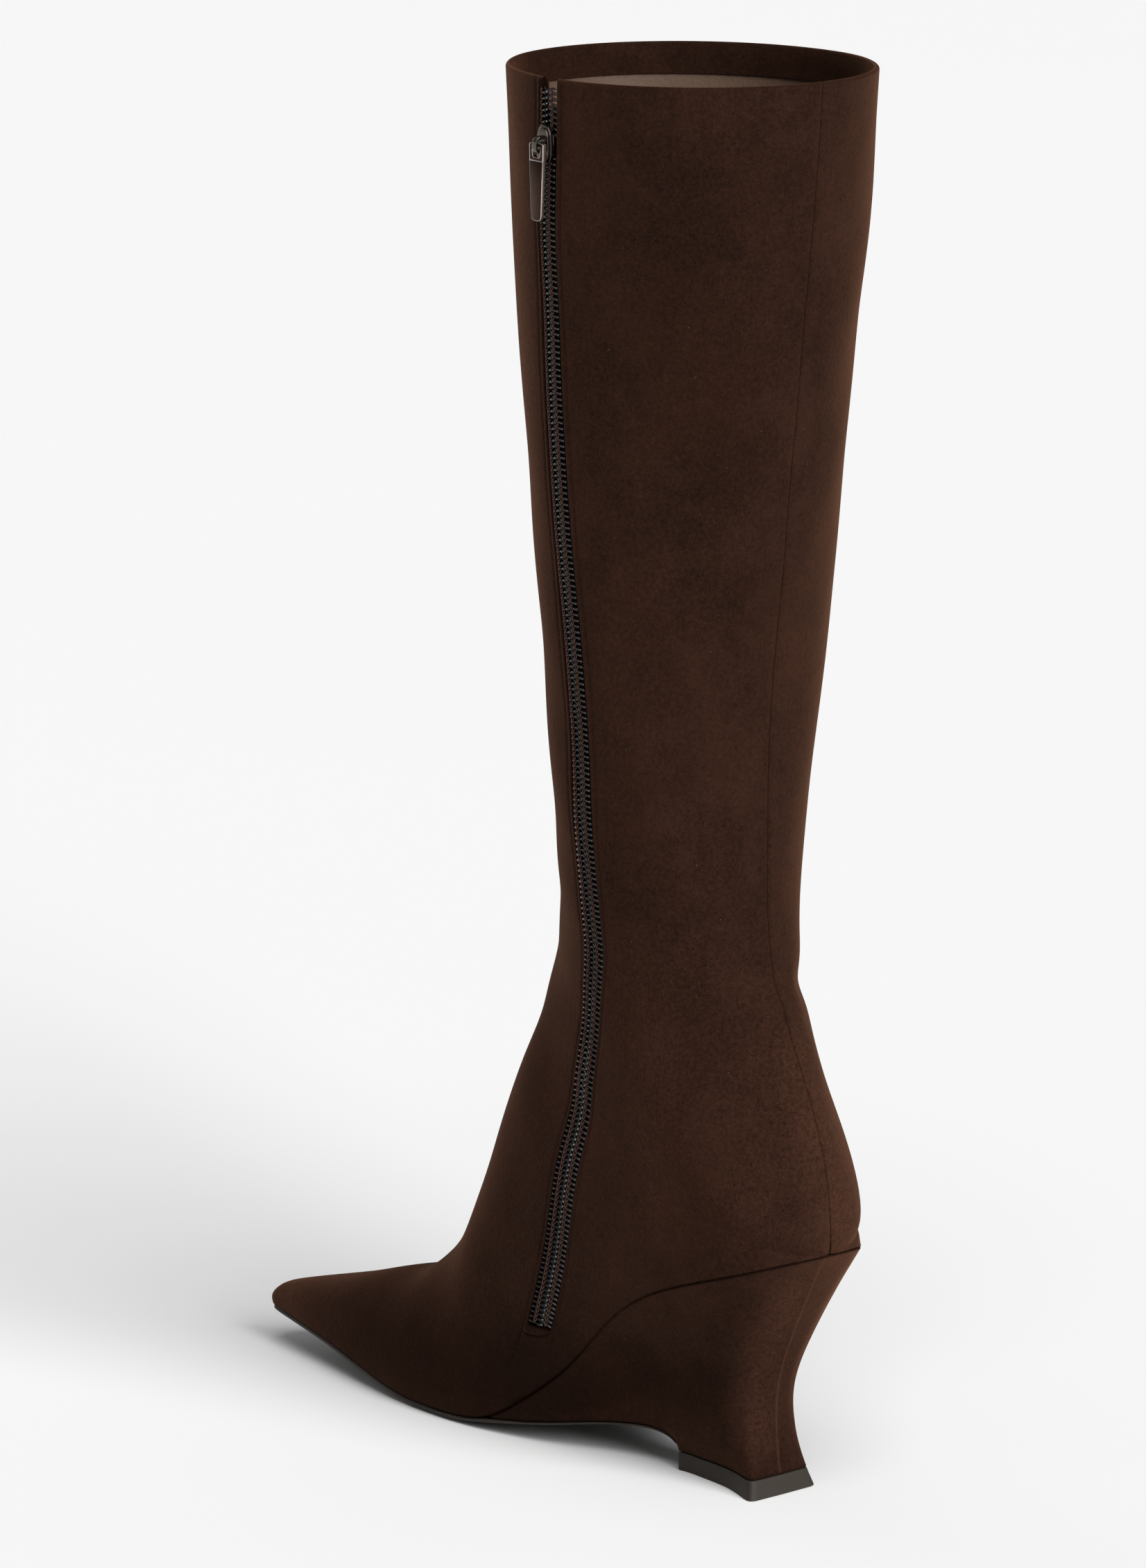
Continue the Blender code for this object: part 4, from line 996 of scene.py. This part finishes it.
def chain_stitches(skin, line, side, sizes):
    """The chain stitch that sews a coil to its tape: one chevron over each loop."""
    pitch, radius = sizes.coil_pitch / MM, CHEVRON_THICK * sizes.thread / MM
    x, z, y = np.array(CHEVRON).T
    starts = np.arange(CHAIN_FOOT + 1.0, line.end - CHAIN_HEAD - 1.0, pitch)
    for start in starts + (pitch / 2 if side < 0 else 0.0):
        aside = side * float(parting(line, start))
        for hand in (-1, 1):
            length = start + z * pitch
            across = side * THREAD_OUT + aside + hand * x
            path = line.chain(length, across, y - CHAIN_DEPTH + COIL_RISE + radius)
            skin.tube(path, line.axes(length)[1], radius, sides=5)


# One stitch: place along it, and height and thickness as shares of the thread's.
STITCH = ((-0.5, -0.9, 0.7), (-0.36, 0.1, 1), (0, 0.35, 1), (0.36, 0.1, 1), (0.5, -0.9, 0.7))


def running_stitches(skin, place, low, high, sizes):
    """A row of stitches; place gives points and outward directions at lengths and heights."""
    stitch, gap, radius = sizes.stitch / MM, sizes.stitch_gap / MM, sizes.thread / MM / 2
    along, rise, thick = np.array(STITCH).T
    for middle in np.arange(low + stitch, high - stitch, stitch + gap):
        path, outward = place(middle + along * stitch, rise * radius)
        skin.tube(path, outward, radius * thick, sides=5)


def beside_zip(line, offset, depth):
    """Where stitches lie beside the zip, on the suede's own curve."""
    lengths = np.arange(line.length[0], line.end - 2, 1.0)
    points = []
    for at in np.interp(lengths, line.length, line.knots):
        cut = Section(at)
        slant = np.interp(at, line.knots, line.slant)
        points.append(cut.points(1, [cut.zip + (offset + d) * slant for d in (-1, 0, 1)]))
    rear, centre, front = np.swapaxes(points, 0, 1)
    outward = unit(np.cross(np.gradient(centre, axis=0), front - rear))
    centre = centre + relief(centre)[:, None] * outward

    def place(length, lift):
        out = unit(sample(outward, lengths, length))
        return sample(centre, lengths, length) + (lift - depth)[:, None] * out, out
    return place


class BOOT_OT_zip(bpy.types.Operator):
    """Make the zip's two nylon coils and the chain stitch that holds them"""
    bl_idname = "boot.zip"
    bl_label = "Zip"

    def execute(self, context):
        sizes, line = context.scene.boot_sizes, ZipLine()
        nylon, threads = coil_nylon("coil_nylon"), Skin()
        for side, name in ((1, "front"), (-1, "rear")):
            coil = Skin()
            path, up, bulge = coil_path(line, side, sizes)
            coil.tube(path, up, sizes.coil_wire / MM / 2 * bulge, sides=6)
            piece = coil.build("zip_coil_" + name, nylon, weld=None)
            if side > 0:
                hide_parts("zip_chain")
            chain_stitches(threads, line, side, sizes)
        look = thread_look("thread_chain", context.scene.boot_colours.thread)
        piece = threads.build("zip_chain_stitch", look, weld=None)
        return {"FINISHED"}


class BOOT_OT_stitching(bpy.types.Operator):
    """Make the rows of stitches beside the zip"""
    bl_idname = "boot.stitching"
    bl_label = "Stitching"

    def execute(self, context):
        line, skin = ZipLine(), Skin()
        for side, low in ((1, -24.0), (-1, -3.0)):
            place = beside_zip(line, side * STITCH_OUT, CHANNEL_DEPTH + 0.1)
            running_stitches(skin, place, low, line.end - 3, context.scene.boot_sizes)
        look = thread_look("thread_suede", context.scene.boot_colours.topstitch)
        piece = skin.build("zip_topstitch", look, weld=None)
        return {"FINISHED"}


# ---- the slider and its pull ----

def slider_shell():
    """The slider's place and its axes: forward, outward and up."""
    line = ZipLine()
    at = np.array([slider_place(line)])
    return line.place(at)[0], np.concatenate(line.axes(at))


def prism(first, second):
    """Points and faces of a solid between two outlines with as many points each."""
    count = len(first)
    faces = [tuple(range(count)), tuple(reversed(range(count, 2 * count)))]
    for i in range(count):
        j = (i + 1) % count
        faces.append((j, i, i + count, j + count))
    return np.array([*first, *second], float), faces


def plate(outline, low, high):
    """A plate from an outline in the across-up plane, from height low to high."""
    return prism(*([(x, y, z) for x, z in outline] for y in (low, high)))


def hard_piece(name, parts, axes, centre, look, body, bevel):
    """A hard piece from solids in its own axes, with its sharp edges bevelled."""
    points, faces, count = [], [], 0
    for part_points, part_faces in parts:
        points.append(part_points @ axes + centre)
        faces.extend(tuple(k + count for k in face) for face in part_faces)
        count += len(part_points)
    mesh = bpy.data.meshes.new(name)
    place = (np.concatenate(points) - (*ORIGIN, 0.0)) * MM
    mesh.from_pydata(place.tolist(), [], faces)
    work = bmesh.new()
    work.from_mesh(mesh)
    bmesh.ops.recalc_face_normals(work, faces=work.faces)
    sharp = [edge for edge in work.edges if edge.calc_face_angle(0) > math.radians(25)]
    bmesh.ops.bevel(work, geom=sharp, offset=bevel * MM, segments=3, profile=0.5,
                    affect="EDGES", clamp_overlap=True)
    work.to_mesh(mesh)
    work.free()
    piece = finish_piece(name, mesh, look, body)
    sharpen(piece, 35)
    return piece


def ring_plate(outer, inner, low, high):
    """Points and faces of a plate with a window; both outlines have as many points."""
    count = len(outer)
    points = [(x, y, z) for outline in (outer, inner) for y in (low, high) for x, z in outline]
    faces = []
    for i in range(count):
        j = (i + 1) % count
        faces.append((i, j, count + j, count + i))
        faces.append((2 * count + j, 2 * count + i, 3 * count + i, 3 * count + j))
        faces.append((j, i, 2 * count + i, 2 * count + j))
        faces.append((count + i, count + j, 3 * count + j, 3 * count + i))
    return np.array(points, float), faces


def both_sides(half):
    """An outline from its right half, whose first point lies on the middle line."""
    return [*half, *((-x, z) for x, z in reversed(half[1:]))]


# Outlines in millimetres: across and up, or for the bridge outward and up.
END = SLIDER_LENGTH / 2
SHIELD = both_sides([(0.0, -END), (1.6, -END), (2.6, 0.4 - END), (3.3, 1.6 - END),
                     (3.55, 3.2 - END), (3.5, 5.5 - END), (3.2, END - 3.0), (2.6, END - 1.2),
                     (1.8, END - 0.3), (0.9, END)])
SLIDER_WALL = ((3.55, -3.0), (2.9, -3.0), (2.9, 3.2), (3.4, 3.2))
BRIDGE = ((1.9, -2.6), (3.6, -2.6), (4.6, -2.1), (5.1, -1.2), (5.15, 0.0), (5.1, 1.2),
          (4.6, 2.1), (3.6, 2.6), (1.9, 2.6), (1.9, 1.6), (3.4, 1.6), (4.0, 1.2), (4.2, 0.6),
          (4.2, -0.6), (4.0, -1.2), (3.4, -1.6), (1.9, -1.6))
BRIDGE_HALF = 0.95
PULL_HEAD = ((2.9, 0.55), (0.0, 0.55), (-2.9, 0.55), (-3.4, 0.1), (-3.38, -1.4), (-3.35, -3.2),
             (-3.3, -4.7), (0.0, -4.75), (3.3, -4.7), (3.35, -3.2), (3.38, -1.4), (3.4, 0.1))
PULL_WINDOW = ((1.5, -0.55), (0.0, -0.55), (-1.5, -0.55), (-1.9, -0.85), (-1.95, -1.5),
               (-1.8, -3.1), (-1.3, -3.75), (0.0, -3.8), (1.3, -3.75), (1.8, -3.1),
               (1.95, -1.5), (1.9, -0.85))
PULL_TIP = ((-2.45, -21.2), (-2.3, -22.0), (-1.8, -22.6), (-1.1, -22.8), (0.0, -22.85),
            (1.1, -22.8), (1.8, -22.6), (2.3, -22.0), (2.45, -21.2))


def scaled(outline, across, along, lift=0.0):
    return [(across * x, along * z + lift) for x, z in outline]


class BOOT_OT_slider(bpy.types.Operator):
    """Make the zip's slider: its two plates, side walls and the bridge for the pull"""
    bl_idname = "boot.slider"
    bl_label = "Slider"

    def execute(self, context):
        centre, axes = slider_shell()
        parts = [plate(SHIELD, 0.15, 1.35), plate(scaled(SHIELD, 0.80, 0.86), 1.2, 1.95)]
        for side in (1, -1):
            parts.append(plate(scaled(SLIDER_WALL, side, 1)[::side], -1.6, 0.4))
        parts.append(prism(*([(x, y, z) for y, z in BRIDGE] for x in (-BRIDGE_HALF, BRIDGE_HALF))))
        look = gunmetal("metal_slider", context.scene.boot_colours.slider)
        piece = hard_piece("zip_slider_body", parts, axes, centre, look, "boot", bevel=0.16)
        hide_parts("zip_slider")
        return {"FINISHED"}


class BOOT_OT_pull(bpy.types.Operator):
    """Make the tapered pull tab that hangs on the slider"""
    bl_idname = "boot.pull"
    bl_label = "Pull tab"

    def execute(self, context):
        colours = context.scene.boot_colours
        hinge = np.array(frame["joints"][0]["pos_m"]) / MM + (*ORIGIN, 0.0)
        outward = unit(slider_shell()[1][1] * (1, 1, 0))
        axes = np.array([np.cross(outward, (0, 0, 1.0)), outward, (0, 0, 1.0)])
        head = ring_plate(PULL_HEAD, PULL_WINDOW, -0.6, 0.8)
        blade = plate([(3.3, -4.6), (-3.3, -4.6), *PULL_TIP], -0.3, 0.9)
        look = gunmetal("metal_pull", colours.bright)
        piece = hard_piece("pull_tab_plate", [head, blade], axes, hinge, look,
                           "pull_tab", bevel=0.05)
        ring = ring_plate(scaled(PULL_HEAD, 0.94, 0.96, -0.08),
                          scaled(PULL_WINDOW, 1.1, 1.06, 0.12), 0.7, 0.85)
        inset = [(3.18, -4.85), (-3.18, -4.85), *scaled(PULL_TIP, 0.96, 1, 0.08)]
        look = gunmetal("metal_face", colours.metal)
        parts = [ring, plate(inset, 0.8, 0.95), plate(inset, -0.35, -0.2)]
        face = hard_piece("pull_tab_face", parts, axes, hinge, look, "pull_tab", bevel=0.04)
        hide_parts("zip_pull")
        return {"FINISHED"}


# ---- materials ----

class Wire:
    """An output socket that can be used in arithmetic; each operator adds a Math node."""

    def __init__(self, look, socket):
        self.look, self.socket = look, socket

    def math(self, operation, *values):
        """The result of a Math node fed with values, which are numbers or wires."""
        node = self.look.tree.nodes.new("ShaderNodeMath")
        node.operation = operation
        for socket, value in zip(node.inputs, values):
            self.look.feed(socket, value)
        return Wire(self.look, node.outputs[0])

    def __add__(self, other):
        return self.math("ADD", self, other)

    def __sub__(self, other):
        return self.math("SUBTRACT", self, other)

    def __rsub__(self, other):
        return self.math("SUBTRACT", other, self)

    def __mul__(self, other):
        return self.math("MULTIPLY", self, other)

    def __lt__(self, other):
        return self.math("LESS_THAN", self, other)

    __radd__ = __add__
    __rmul__ = __mul__

    def clamp(self):
        return self.look.node("ShaderNodeClamp", {}, {0: self})


class Look:
    """A material being made: its nodes, and a few ways of adding them."""

    def __init__(self, name, **constants):
        self.material = bpy.data.materials.new(name)
        self.material.use_nodes = True
        self.tree = self.material.node_tree
        self.shader = self.tree.nodes["Principled BSDF"]
        self.set(**constants)

    def feed(self, socket, value):
        """Links a wire to a socket, or sets the socket to a number or a colour."""
        if isinstance(value, Wire):
            self.tree.links.new(value.socket, socket)
        elif hasattr(value, "__len__"):
            size = len(socket.default_value)
            socket.default_value = (*value, 1.0) if size == 4 and len(value) == 3 else value
        else:
            socket.default_value = value

    def set(self, **sockets):
        """Sets or links the shader's sockets, named with underscores for spaces."""
        for name, value in sockets.items():
            self.feed(self.shader.inputs[name.replace("_", " ")], value)

    def node(self, kind, settings=None, sockets=None, output=0):
        """A node of a type, with its settings set first and then its sockets."""
        made = self.tree.nodes.new(kind)
        for name, value in (settings or {}).items():
            setattr(made, name, value)
        for name, value in (sockets or {}).items():
            self.feed(made.inputs[name], value)
        return Wire(self, made.outputs[output])

    def place(self, scale=(1, 1, 1), turn=(0, 0, 0)):
        """The point on the object in metres, stretched and turned."""
        where = self.node("ShaderNodeTexCoord", output="Object")
        sockets = {"Vector": where, "Scale": scale, "Rotation": turn}
        return self.node("ShaderNodeMapping", {}, sockets)

    def noise(self, size, detail=2.0, roughness=0.5, stretch=(1, 1, 1), turn=(0, 0, 0)):
        """Noise with features of a size in metres, about 0 to 1 with its mean at a half."""
        return self.texture("Noise", 1 / size, self.place(stretch, turn),
                            Detail=detail, Roughness=roughness)

    def texture(self, kind, scale, where=None, settings=None, output=0, **sockets):
        """A texture over the object, with a scale in features to the metre."""
        sockets = {"Vector": where or self.place(), "Scale": scale, **sockets}
        return self.node("ShaderNodeTex" + kind, settings, sockets, output)

    def mix(self, first, second, share):
        """A colour between two colours."""
        sockets = {0: share, 6: first, 7: second}
        return self.node("ShaderNodeMix", {"data_type": "RGBA"}, sockets, output=2)

    def bump(self, height, depth, strength):
        """Feeds a height, in units of a depth in metres, to the shader's normal."""
        sockets = {"Height": height, "Distance": depth, "Strength": strength}
        self.set(Normal=self.node("ShaderNodeBump", {}, sockets))

    def vary(self, colour, low, high, share):
        """Varies the base colour between two brightnesses of a colour."""
        shades = [[factor * part for part in colour] for factor in (low, high)]
        self.set(Base_Color=self.mix(*shades, share))

    def darken(self, colour, share):
        """Mixes a dull dark shader over the shader as painted shade, where no light is caught."""
        dull = self.tree.nodes.new("ShaderNodeBsdfDiffuse")
        self.feed(dull.inputs["Color"], colour)
        both = self.tree.nodes.new("ShaderNodeMixShader")
        self.feed(both.inputs[0], share)
        self.tree.links.new(self.shader.outputs[0], both.inputs[1])
        self.tree.links.new(dull.outputs[0], both.inputs[2])
        self.tree.links.new(both.outputs[0], self.tree.nodes["Material Output"].inputs["Surface"])

    def stored(self, name):
        """A value stored on the mesh: shade is painted shade, 1 in seams and folds, and below 0 a
        painted highlight; the other is painted light and shade over the nap.
        """
        return self.node("ShaderNodeAttribute", {"attribute_name": name}, output="Fac")


def suede(name):
    """Brushed brown suede: mottled nap, fine fibres, lint, and painted light and shade over the nap
    and in its seams.
    """
    colours = bpy.context.scene.boot_colours
    look = Look(name, Roughness=0.95, Specular_IOR_Level=0.05, Sheen_Weight=0.26,
                Sheen_Roughness=0.4, Sheen_Tint=colours.suede_sheen)
    cloud = look.noise(0.055, 3.0, 0.55)
    brushed = look.noise(0.020, 3.0, 0.5, (1, 1, 0.6))
    patch = look.noise(0.007)
    fibre = look.noise(0.0013, 3.0, 0.7)
    nap = look.noise(bpy.context.scene.boot_sizes.nap, 2.0, 0.6)
    shade, stroke = look.stored("shade"), look.stored("stroke")
    # The grain shows more where light is painted in; the tone carries the painted light and shade,
    # and below 0 the shade paints a highlight.
    grain = (0.6 * (fibre - 0.5) + 0.55 * (nap - 0.5)) * (1.0 + 4.0 * stroke.clamp())
    tone = (0.2 + 0.24 * (cloud - 0.5) + 0.3 * (brushed - 0.5) + 0.2 * (patch - 0.5)
            + grain + stroke + (0.0 - shade).clamp()).clamp()
    colour = look.mix(colours.suede_dark, colours.suede_light, tone)
    warm = look.noise(0.03, stretch=(1, 1, 0.7), turn=(0.3, 0.2, 0))
    colour = look.mix(colour, colours.suede_warm, (1.6 * warm - 0.75).clamp() * 0.3)
    speck = look.texture("Voronoi", 310.0) < 0.05
    chance = look.node("ShaderNodeSeparateColor", {},
                       {0: look.texture("Voronoi", 310.0, output="Color")})
    colour = look.mix(colour, colours.lint, speck * (chance < 0.16) * 0.55)
    look.set(Base_Color=colour)
    look.bump(0.5 * nap + 0.8 * fibre, 0.0004, 0.55)
    # Painted shade: a dull dark shader over the seams, folds and the patches painted darker, taking
    # away their sheen.
    look.darken(colours.seam, (shade + 2.4 * (0.0 - stroke).clamp()).clamp())
    return look.material


def lining_leather(name):
    """Pale leather with a fine grain."""
    look = Look(name, Specular_IOR_Level=0.35)
    grain, cloud, pore = look.texture("Voronoi", 900.0), look.noise(0.03, 3.0), look.noise(0.0006)
    colour = bpy.context.scene.boot_colours.lining
    look.vary(colour, 0.72, 1, (cloud + 0.4 * grain).clamp())
    look.set(Roughness=0.55 + 0.2 * pore)
    look.bump(grain + 0.4 * pore, 0.00012, 0.5)
    return look.material


def insole_leather(name):
    """The same leather, worn smooth."""
    look = Look(name, Specular_IOR_Level=0.35)
    pore, cloud = look.noise(0.0007), look.noise(0.025, 3.0)
    colour = bpy.context.scene.boot_colours.lining
    look.vary(colour, 0.7, 1, (0.5 * cloud + 0.5 * pore).clamp())
    look.set(Roughness=0.5 + 0.2 * pore)
    look.bump(pore, 0.0001, 0.5)
    return look.material


def rubber(name):
    """Dull dark rubber."""
    look = Look(name, Specular_IOR_Level=0.3)
    cloud, speck = look.noise(0.012, 3.0), look.noise(0.0005)
    colour = bpy.context.scene.boot_colours.rubber
    look.vary(colour, 0.7, 1, (0.2 + 0.8 * cloud).clamp())
    look.set(Roughness=0.58 + 0.2 * speck)
    look.bump(speck, 0.0001, 0.4)
    return look.material


def coil_nylon(name):
    """Smooth dark nylon."""
    look = Look(name, Specular_IOR_Level=0.8)
    speck = look.noise(0.0009)
    look.vary(bpy.context.scene.boot_colours.coil, 1, 1.8, speck)
    look.set(Roughness=0.17 + 0.1 * speck)
    look.bump(look.noise(0.0003, 1.0), 0.00003, 0.3)
    return look.material


def thread_look(name, colour):
    """Twisted thread."""
    look = Look(name, Roughness=0.85, Specular_IOR_Level=0.08, Sheen_Weight=0.05,
                Sheen_Roughness=0.4)
    ply = look.noise(0.0004, 2.0, 0.6)
    look.vary(colour, 0.55, 1.25, ply)
    look.bump(ply, 0.0001, 0.6)
    return look.material


def woven_tape(name):
    """The zip's woven tape: fine ribs along it, crossed by the weft."""
    look = Look(name, Roughness=0.85, Specular_IOR_Level=0.25)
    ribs, weft = (look.texture("Wave", scale, settings={"bands_direction": axis}, Distortion=0.4)
                  for axis, scale in (("Z", 320.0), ("Y", 260.0)))
    weave = ribs * 0.5 + weft * 0.5
    look.vary(bpy.context.scene.boot_colours.tape, 0.5, 1, weave)
    look.bump(weave, 0.0002, 0.7)
    return look.material


def gunmetal(name, colour):
    """Plated metal with fine handling wear."""
    look = Look(name, Metallic=1.0)
    wear = look.noise(0.004, 4.0, 0.6)
    scratch = look.noise(0.0006, 2.0, 0.6, (1, 1, 0.08))
    look.vary(colour, 1, 1.4, (wear * 0.6 + scratch * 0.4).clamp())
    look.set(Roughness=0.16 + 0.16 * scratch)
    look.bump(scratch, 0.00002, 0.3)
    return look.material


def floor_finish(name):
    """Pale even paint."""
    look = Look(name, Specular_IOR_Level=0.1, Roughness=0.9)
    look.vary(bpy.context.scene.boot_colours.floor, 0.985, 1, look.noise(0.8))
    return look.material


class BOOT_OT_kept_pieces(bpy.types.Operator):
    """Finish the model's own zip tape and insole, whose shapes are kept"""
    bl_idname = "boot.kept_pieces"
    bl_label = "Tape and insole"

    def execute(self, context):
        for node, look in (("zip_tape", woven_tape("tape_weave")),
                           ("insole", insole_leather("insole_leather"))):
            for slot in frame["nodes"][node].material_slots:
                slot.material = look
        return {"FINISHED"}


# ---- the studio ----

CAMERA_AT = (1.58907, 1.84459, 0.74274)
CAMERA_AIM = (-0.00349, 0.0065, 0.20841)
CAMERA_LENS = 182.15
FLOOR_REACH = 14.0
SOFTBOX_WIDTH = 36.0      # degrees
# Name, azimuth and height in degrees, and strength.
LIGHTS = (("key", 88.0, 31.0, 3.5), ("top", 58.0, 60.0, 1.35), ("rim", -92.0, 13.0, 0.55))


def soft_light(name, azimuth, height, strength):
    """A broad far light; azimuth is counted from the medial side towards the heel."""
    light = bpy.data.lights.new(name, "SUN")
    light.angle = math.radians(SOFTBOX_WIDTH)
    light.energy = strength
    lamp = bpy.data.objects.new(name, light)
    bpy.context.collection.objects.link(lamp)
    lamp.rotation_euler = (0.0, math.radians(90.0 - height), math.radians(azimuth))


class BOOT_OT_studio(bpy.types.Operator):
    """Set up the pale floor, the soft light and the camera"""
    bl_idname = "boot.studio"
    bl_label = "Studio"

    def execute(self, context):
        mesh = bpy.data.meshes.new("floor")
        corners = np.array([(-1, -1, 0), (1, -1, 0), (1, 1, 0), (-1, 1, 0)]) * FLOOR_REACH
        mesh.from_pydata(corners.tolist(), [], [(0, 1, 2, 3)])
        mesh.materials.append(floor_finish("floor_paint"))
        floor = bpy.data.objects.new("floor", mesh)
        context.collection.objects.link(floor)
        world = bpy.data.worlds.new("studio")
        world.use_nodes = True
        back = world.node_tree.nodes["Background"]
        back.inputs["Color"].default_value = (1.0, 1.0, 1.0, 1.0)
        back.inputs["Strength"].default_value = context.scene.boot_sizes.sky
        context.scene.world = world
        context.scene.view_settings.view_transform = "Standard"
        for light in LIGHTS:
            soft_light(*light)
        camera = bpy.data.cameras.new("camera")
        camera.lens = CAMERA_LENS
        camera.clip_end = 60.0
        view = bpy.data.objects.new("camera", camera)
        context.collection.objects.link(view)
        view.location = CAMERA_AT
        heading = Vector(CAMERA_AIM) - view.location
        view.rotation_euler = heading.to_track_quat("-Z", "Y").to_euler()
        context.scene.camera = view
        return {"FINISHED"}


# ---- what a user may change ----

def length_property(name, description, default):
    return FloatProperty(name=name, description=description, default=default,
                         unit="LENGTH", precision=5)


def colour_property(name, description, default):
    return FloatVectorProperty(name=name, description=description, default=default,
                               subtype="COLOR", size=3, min=0.0, max=1.0)


class BootSizes(bpy.types.PropertyGroup):
    """Sizes of the boot's stitches, zip and nap"""
    stitch: length_property("Stitch", "Length of a stitch beside the zip", 0.0021)
    stitch_gap: length_property("Stitch gap", "Space between two stitches", 0.0006)
    thread: length_property("Thread", "Diameter of the thread", 0.00036)
    coil_pitch: length_property("Coil pitch", "Distance between two loops of the zip", 0.0018)
    coil_wire: length_property("Coil wire", "Diameter of the zip's nylon wire", 0.00080)
    nap: length_property("Nap", "Size of the suede's finest grain", 0.00042)
    crease_depth: FloatProperty(name="Creases", description="Depth of the creases, 1 as worn",
                                default=1.0, min=0.0, max=3.0)
    sky: FloatProperty(name="Sky", description="Strength of the even light from all sides",
                       default=0.2, min=0.0)


class BootColours(bpy.types.PropertyGroup):
    """Colours of the boot's finishes"""
    suede_dark: colour_property("Suede, dark", "Nap brushed down", (0.0075, 0.0031, 0.0019))
    suede_light: colour_property("Suede, light", "Nap brushed up", (0.060, 0.025, 0.0145))
    suede_warm: colour_property("Suede, warm", "Warmer patches", (0.041, 0.0155, 0.0075))
    suede_sheen: colour_property("Suede sheen", "Nap at a low angle", (0.62, 0.27, 0.14))
    lint: colour_property("Lint", "Specks on the suede", (0.15, 0.10, 0.075))
    # seam is the colour of the painted shade mixed over the suede.
    seam: colour_property("Seam", "Depth of the seams", (0.006, 0.003, 0.002))
    thread: colour_property("Chain stitch", "Thread along the zip's coils", (0.072, 0.034, 0.025))
    topstitch: colour_property("Topstitch", "Thread on the suede", (0.014, 0.0064, 0.0040))
    coil: colour_property("Coil", "Nylon of the zip", (0.0045, 0.0050, 0.0045))
    tape: colour_property("Tape", "Woven tape of the zip", (0.030, 0.016, 0.011))
    lining: colour_property("Lining", "Leather lining and insole", (0.105, 0.062, 0.040))
    rubber: colour_property("Rubber", "Sole sheet and heel tap", (0.026, 0.0195, 0.0140))
    metal: colour_property("Metal", "Face of the pull tab", (0.030, 0.013, 0.006))
    slider: colour_property("Slider metal", "Slider body", (0.085, 0.070, 0.060))
    bright: colour_property("Bright metal", "Edges of the pull tab", (0.60, 0.58, 0.56))
    floor: colour_property("Floor", "Studio floor", (0.80, 0.80, 0.80))


class BOOT_PT_panel(bpy.types.Panel):
    """The boot's pieces, sizes and colours"""
    bl_label = "Suede Wedge Boot"
    bl_idname = "BOOT_PT_panel"
    bl_space_type = "VIEW_3D"
    bl_region_type = "UI"
    bl_category = "Boot"

    def draw(self, context):
        for operator in OPERATORS:
            self.layout.operator(operator.bl_idname)
        for group in (context.scene.boot_sizes, context.scene.boot_colours):
            box = self.layout.box()
            for name in group.__annotations__:
                box.prop(group, name)


OPERATORS = (BOOT_OT_upper, BOOT_OT_wedge, BOOT_OT_sole, BOOT_OT_zip, BOOT_OT_stitching,
             BOOT_OT_slider, BOOT_OT_pull, BOOT_OT_kept_pieces, BOOT_OT_studio)
CLASSES = (BootSizes, BootColours, *OPERATORS, BOOT_PT_panel)


def register():
    for kind in CLASSES:
        bpy.utils.register_class(kind)
    bpy.types.Scene.boot_sizes = PointerProperty(type=BootSizes)
    bpy.types.Scene.boot_colours = PointerProperty(type=BootColours)


def unregister():
    del bpy.types.Scene.boot_colours
    del bpy.types.Scene.boot_sizes
    for kind in reversed(CLASSES):
        bpy.utils.unregister_class(kind)


def main():
    register()
    bpy.ops.boot.upper()
    bpy.ops.boot.wedge()
    bpy.ops.boot.sole()
    bpy.ops.boot.zip()
    bpy.ops.boot.stitching()
    bpy.ops.boot.slider()
    bpy.ops.boot.pull()
    bpy.ops.boot.kept_pieces()
    bpy.ops.boot.studio()


if __name__ == "__main__":
    main()
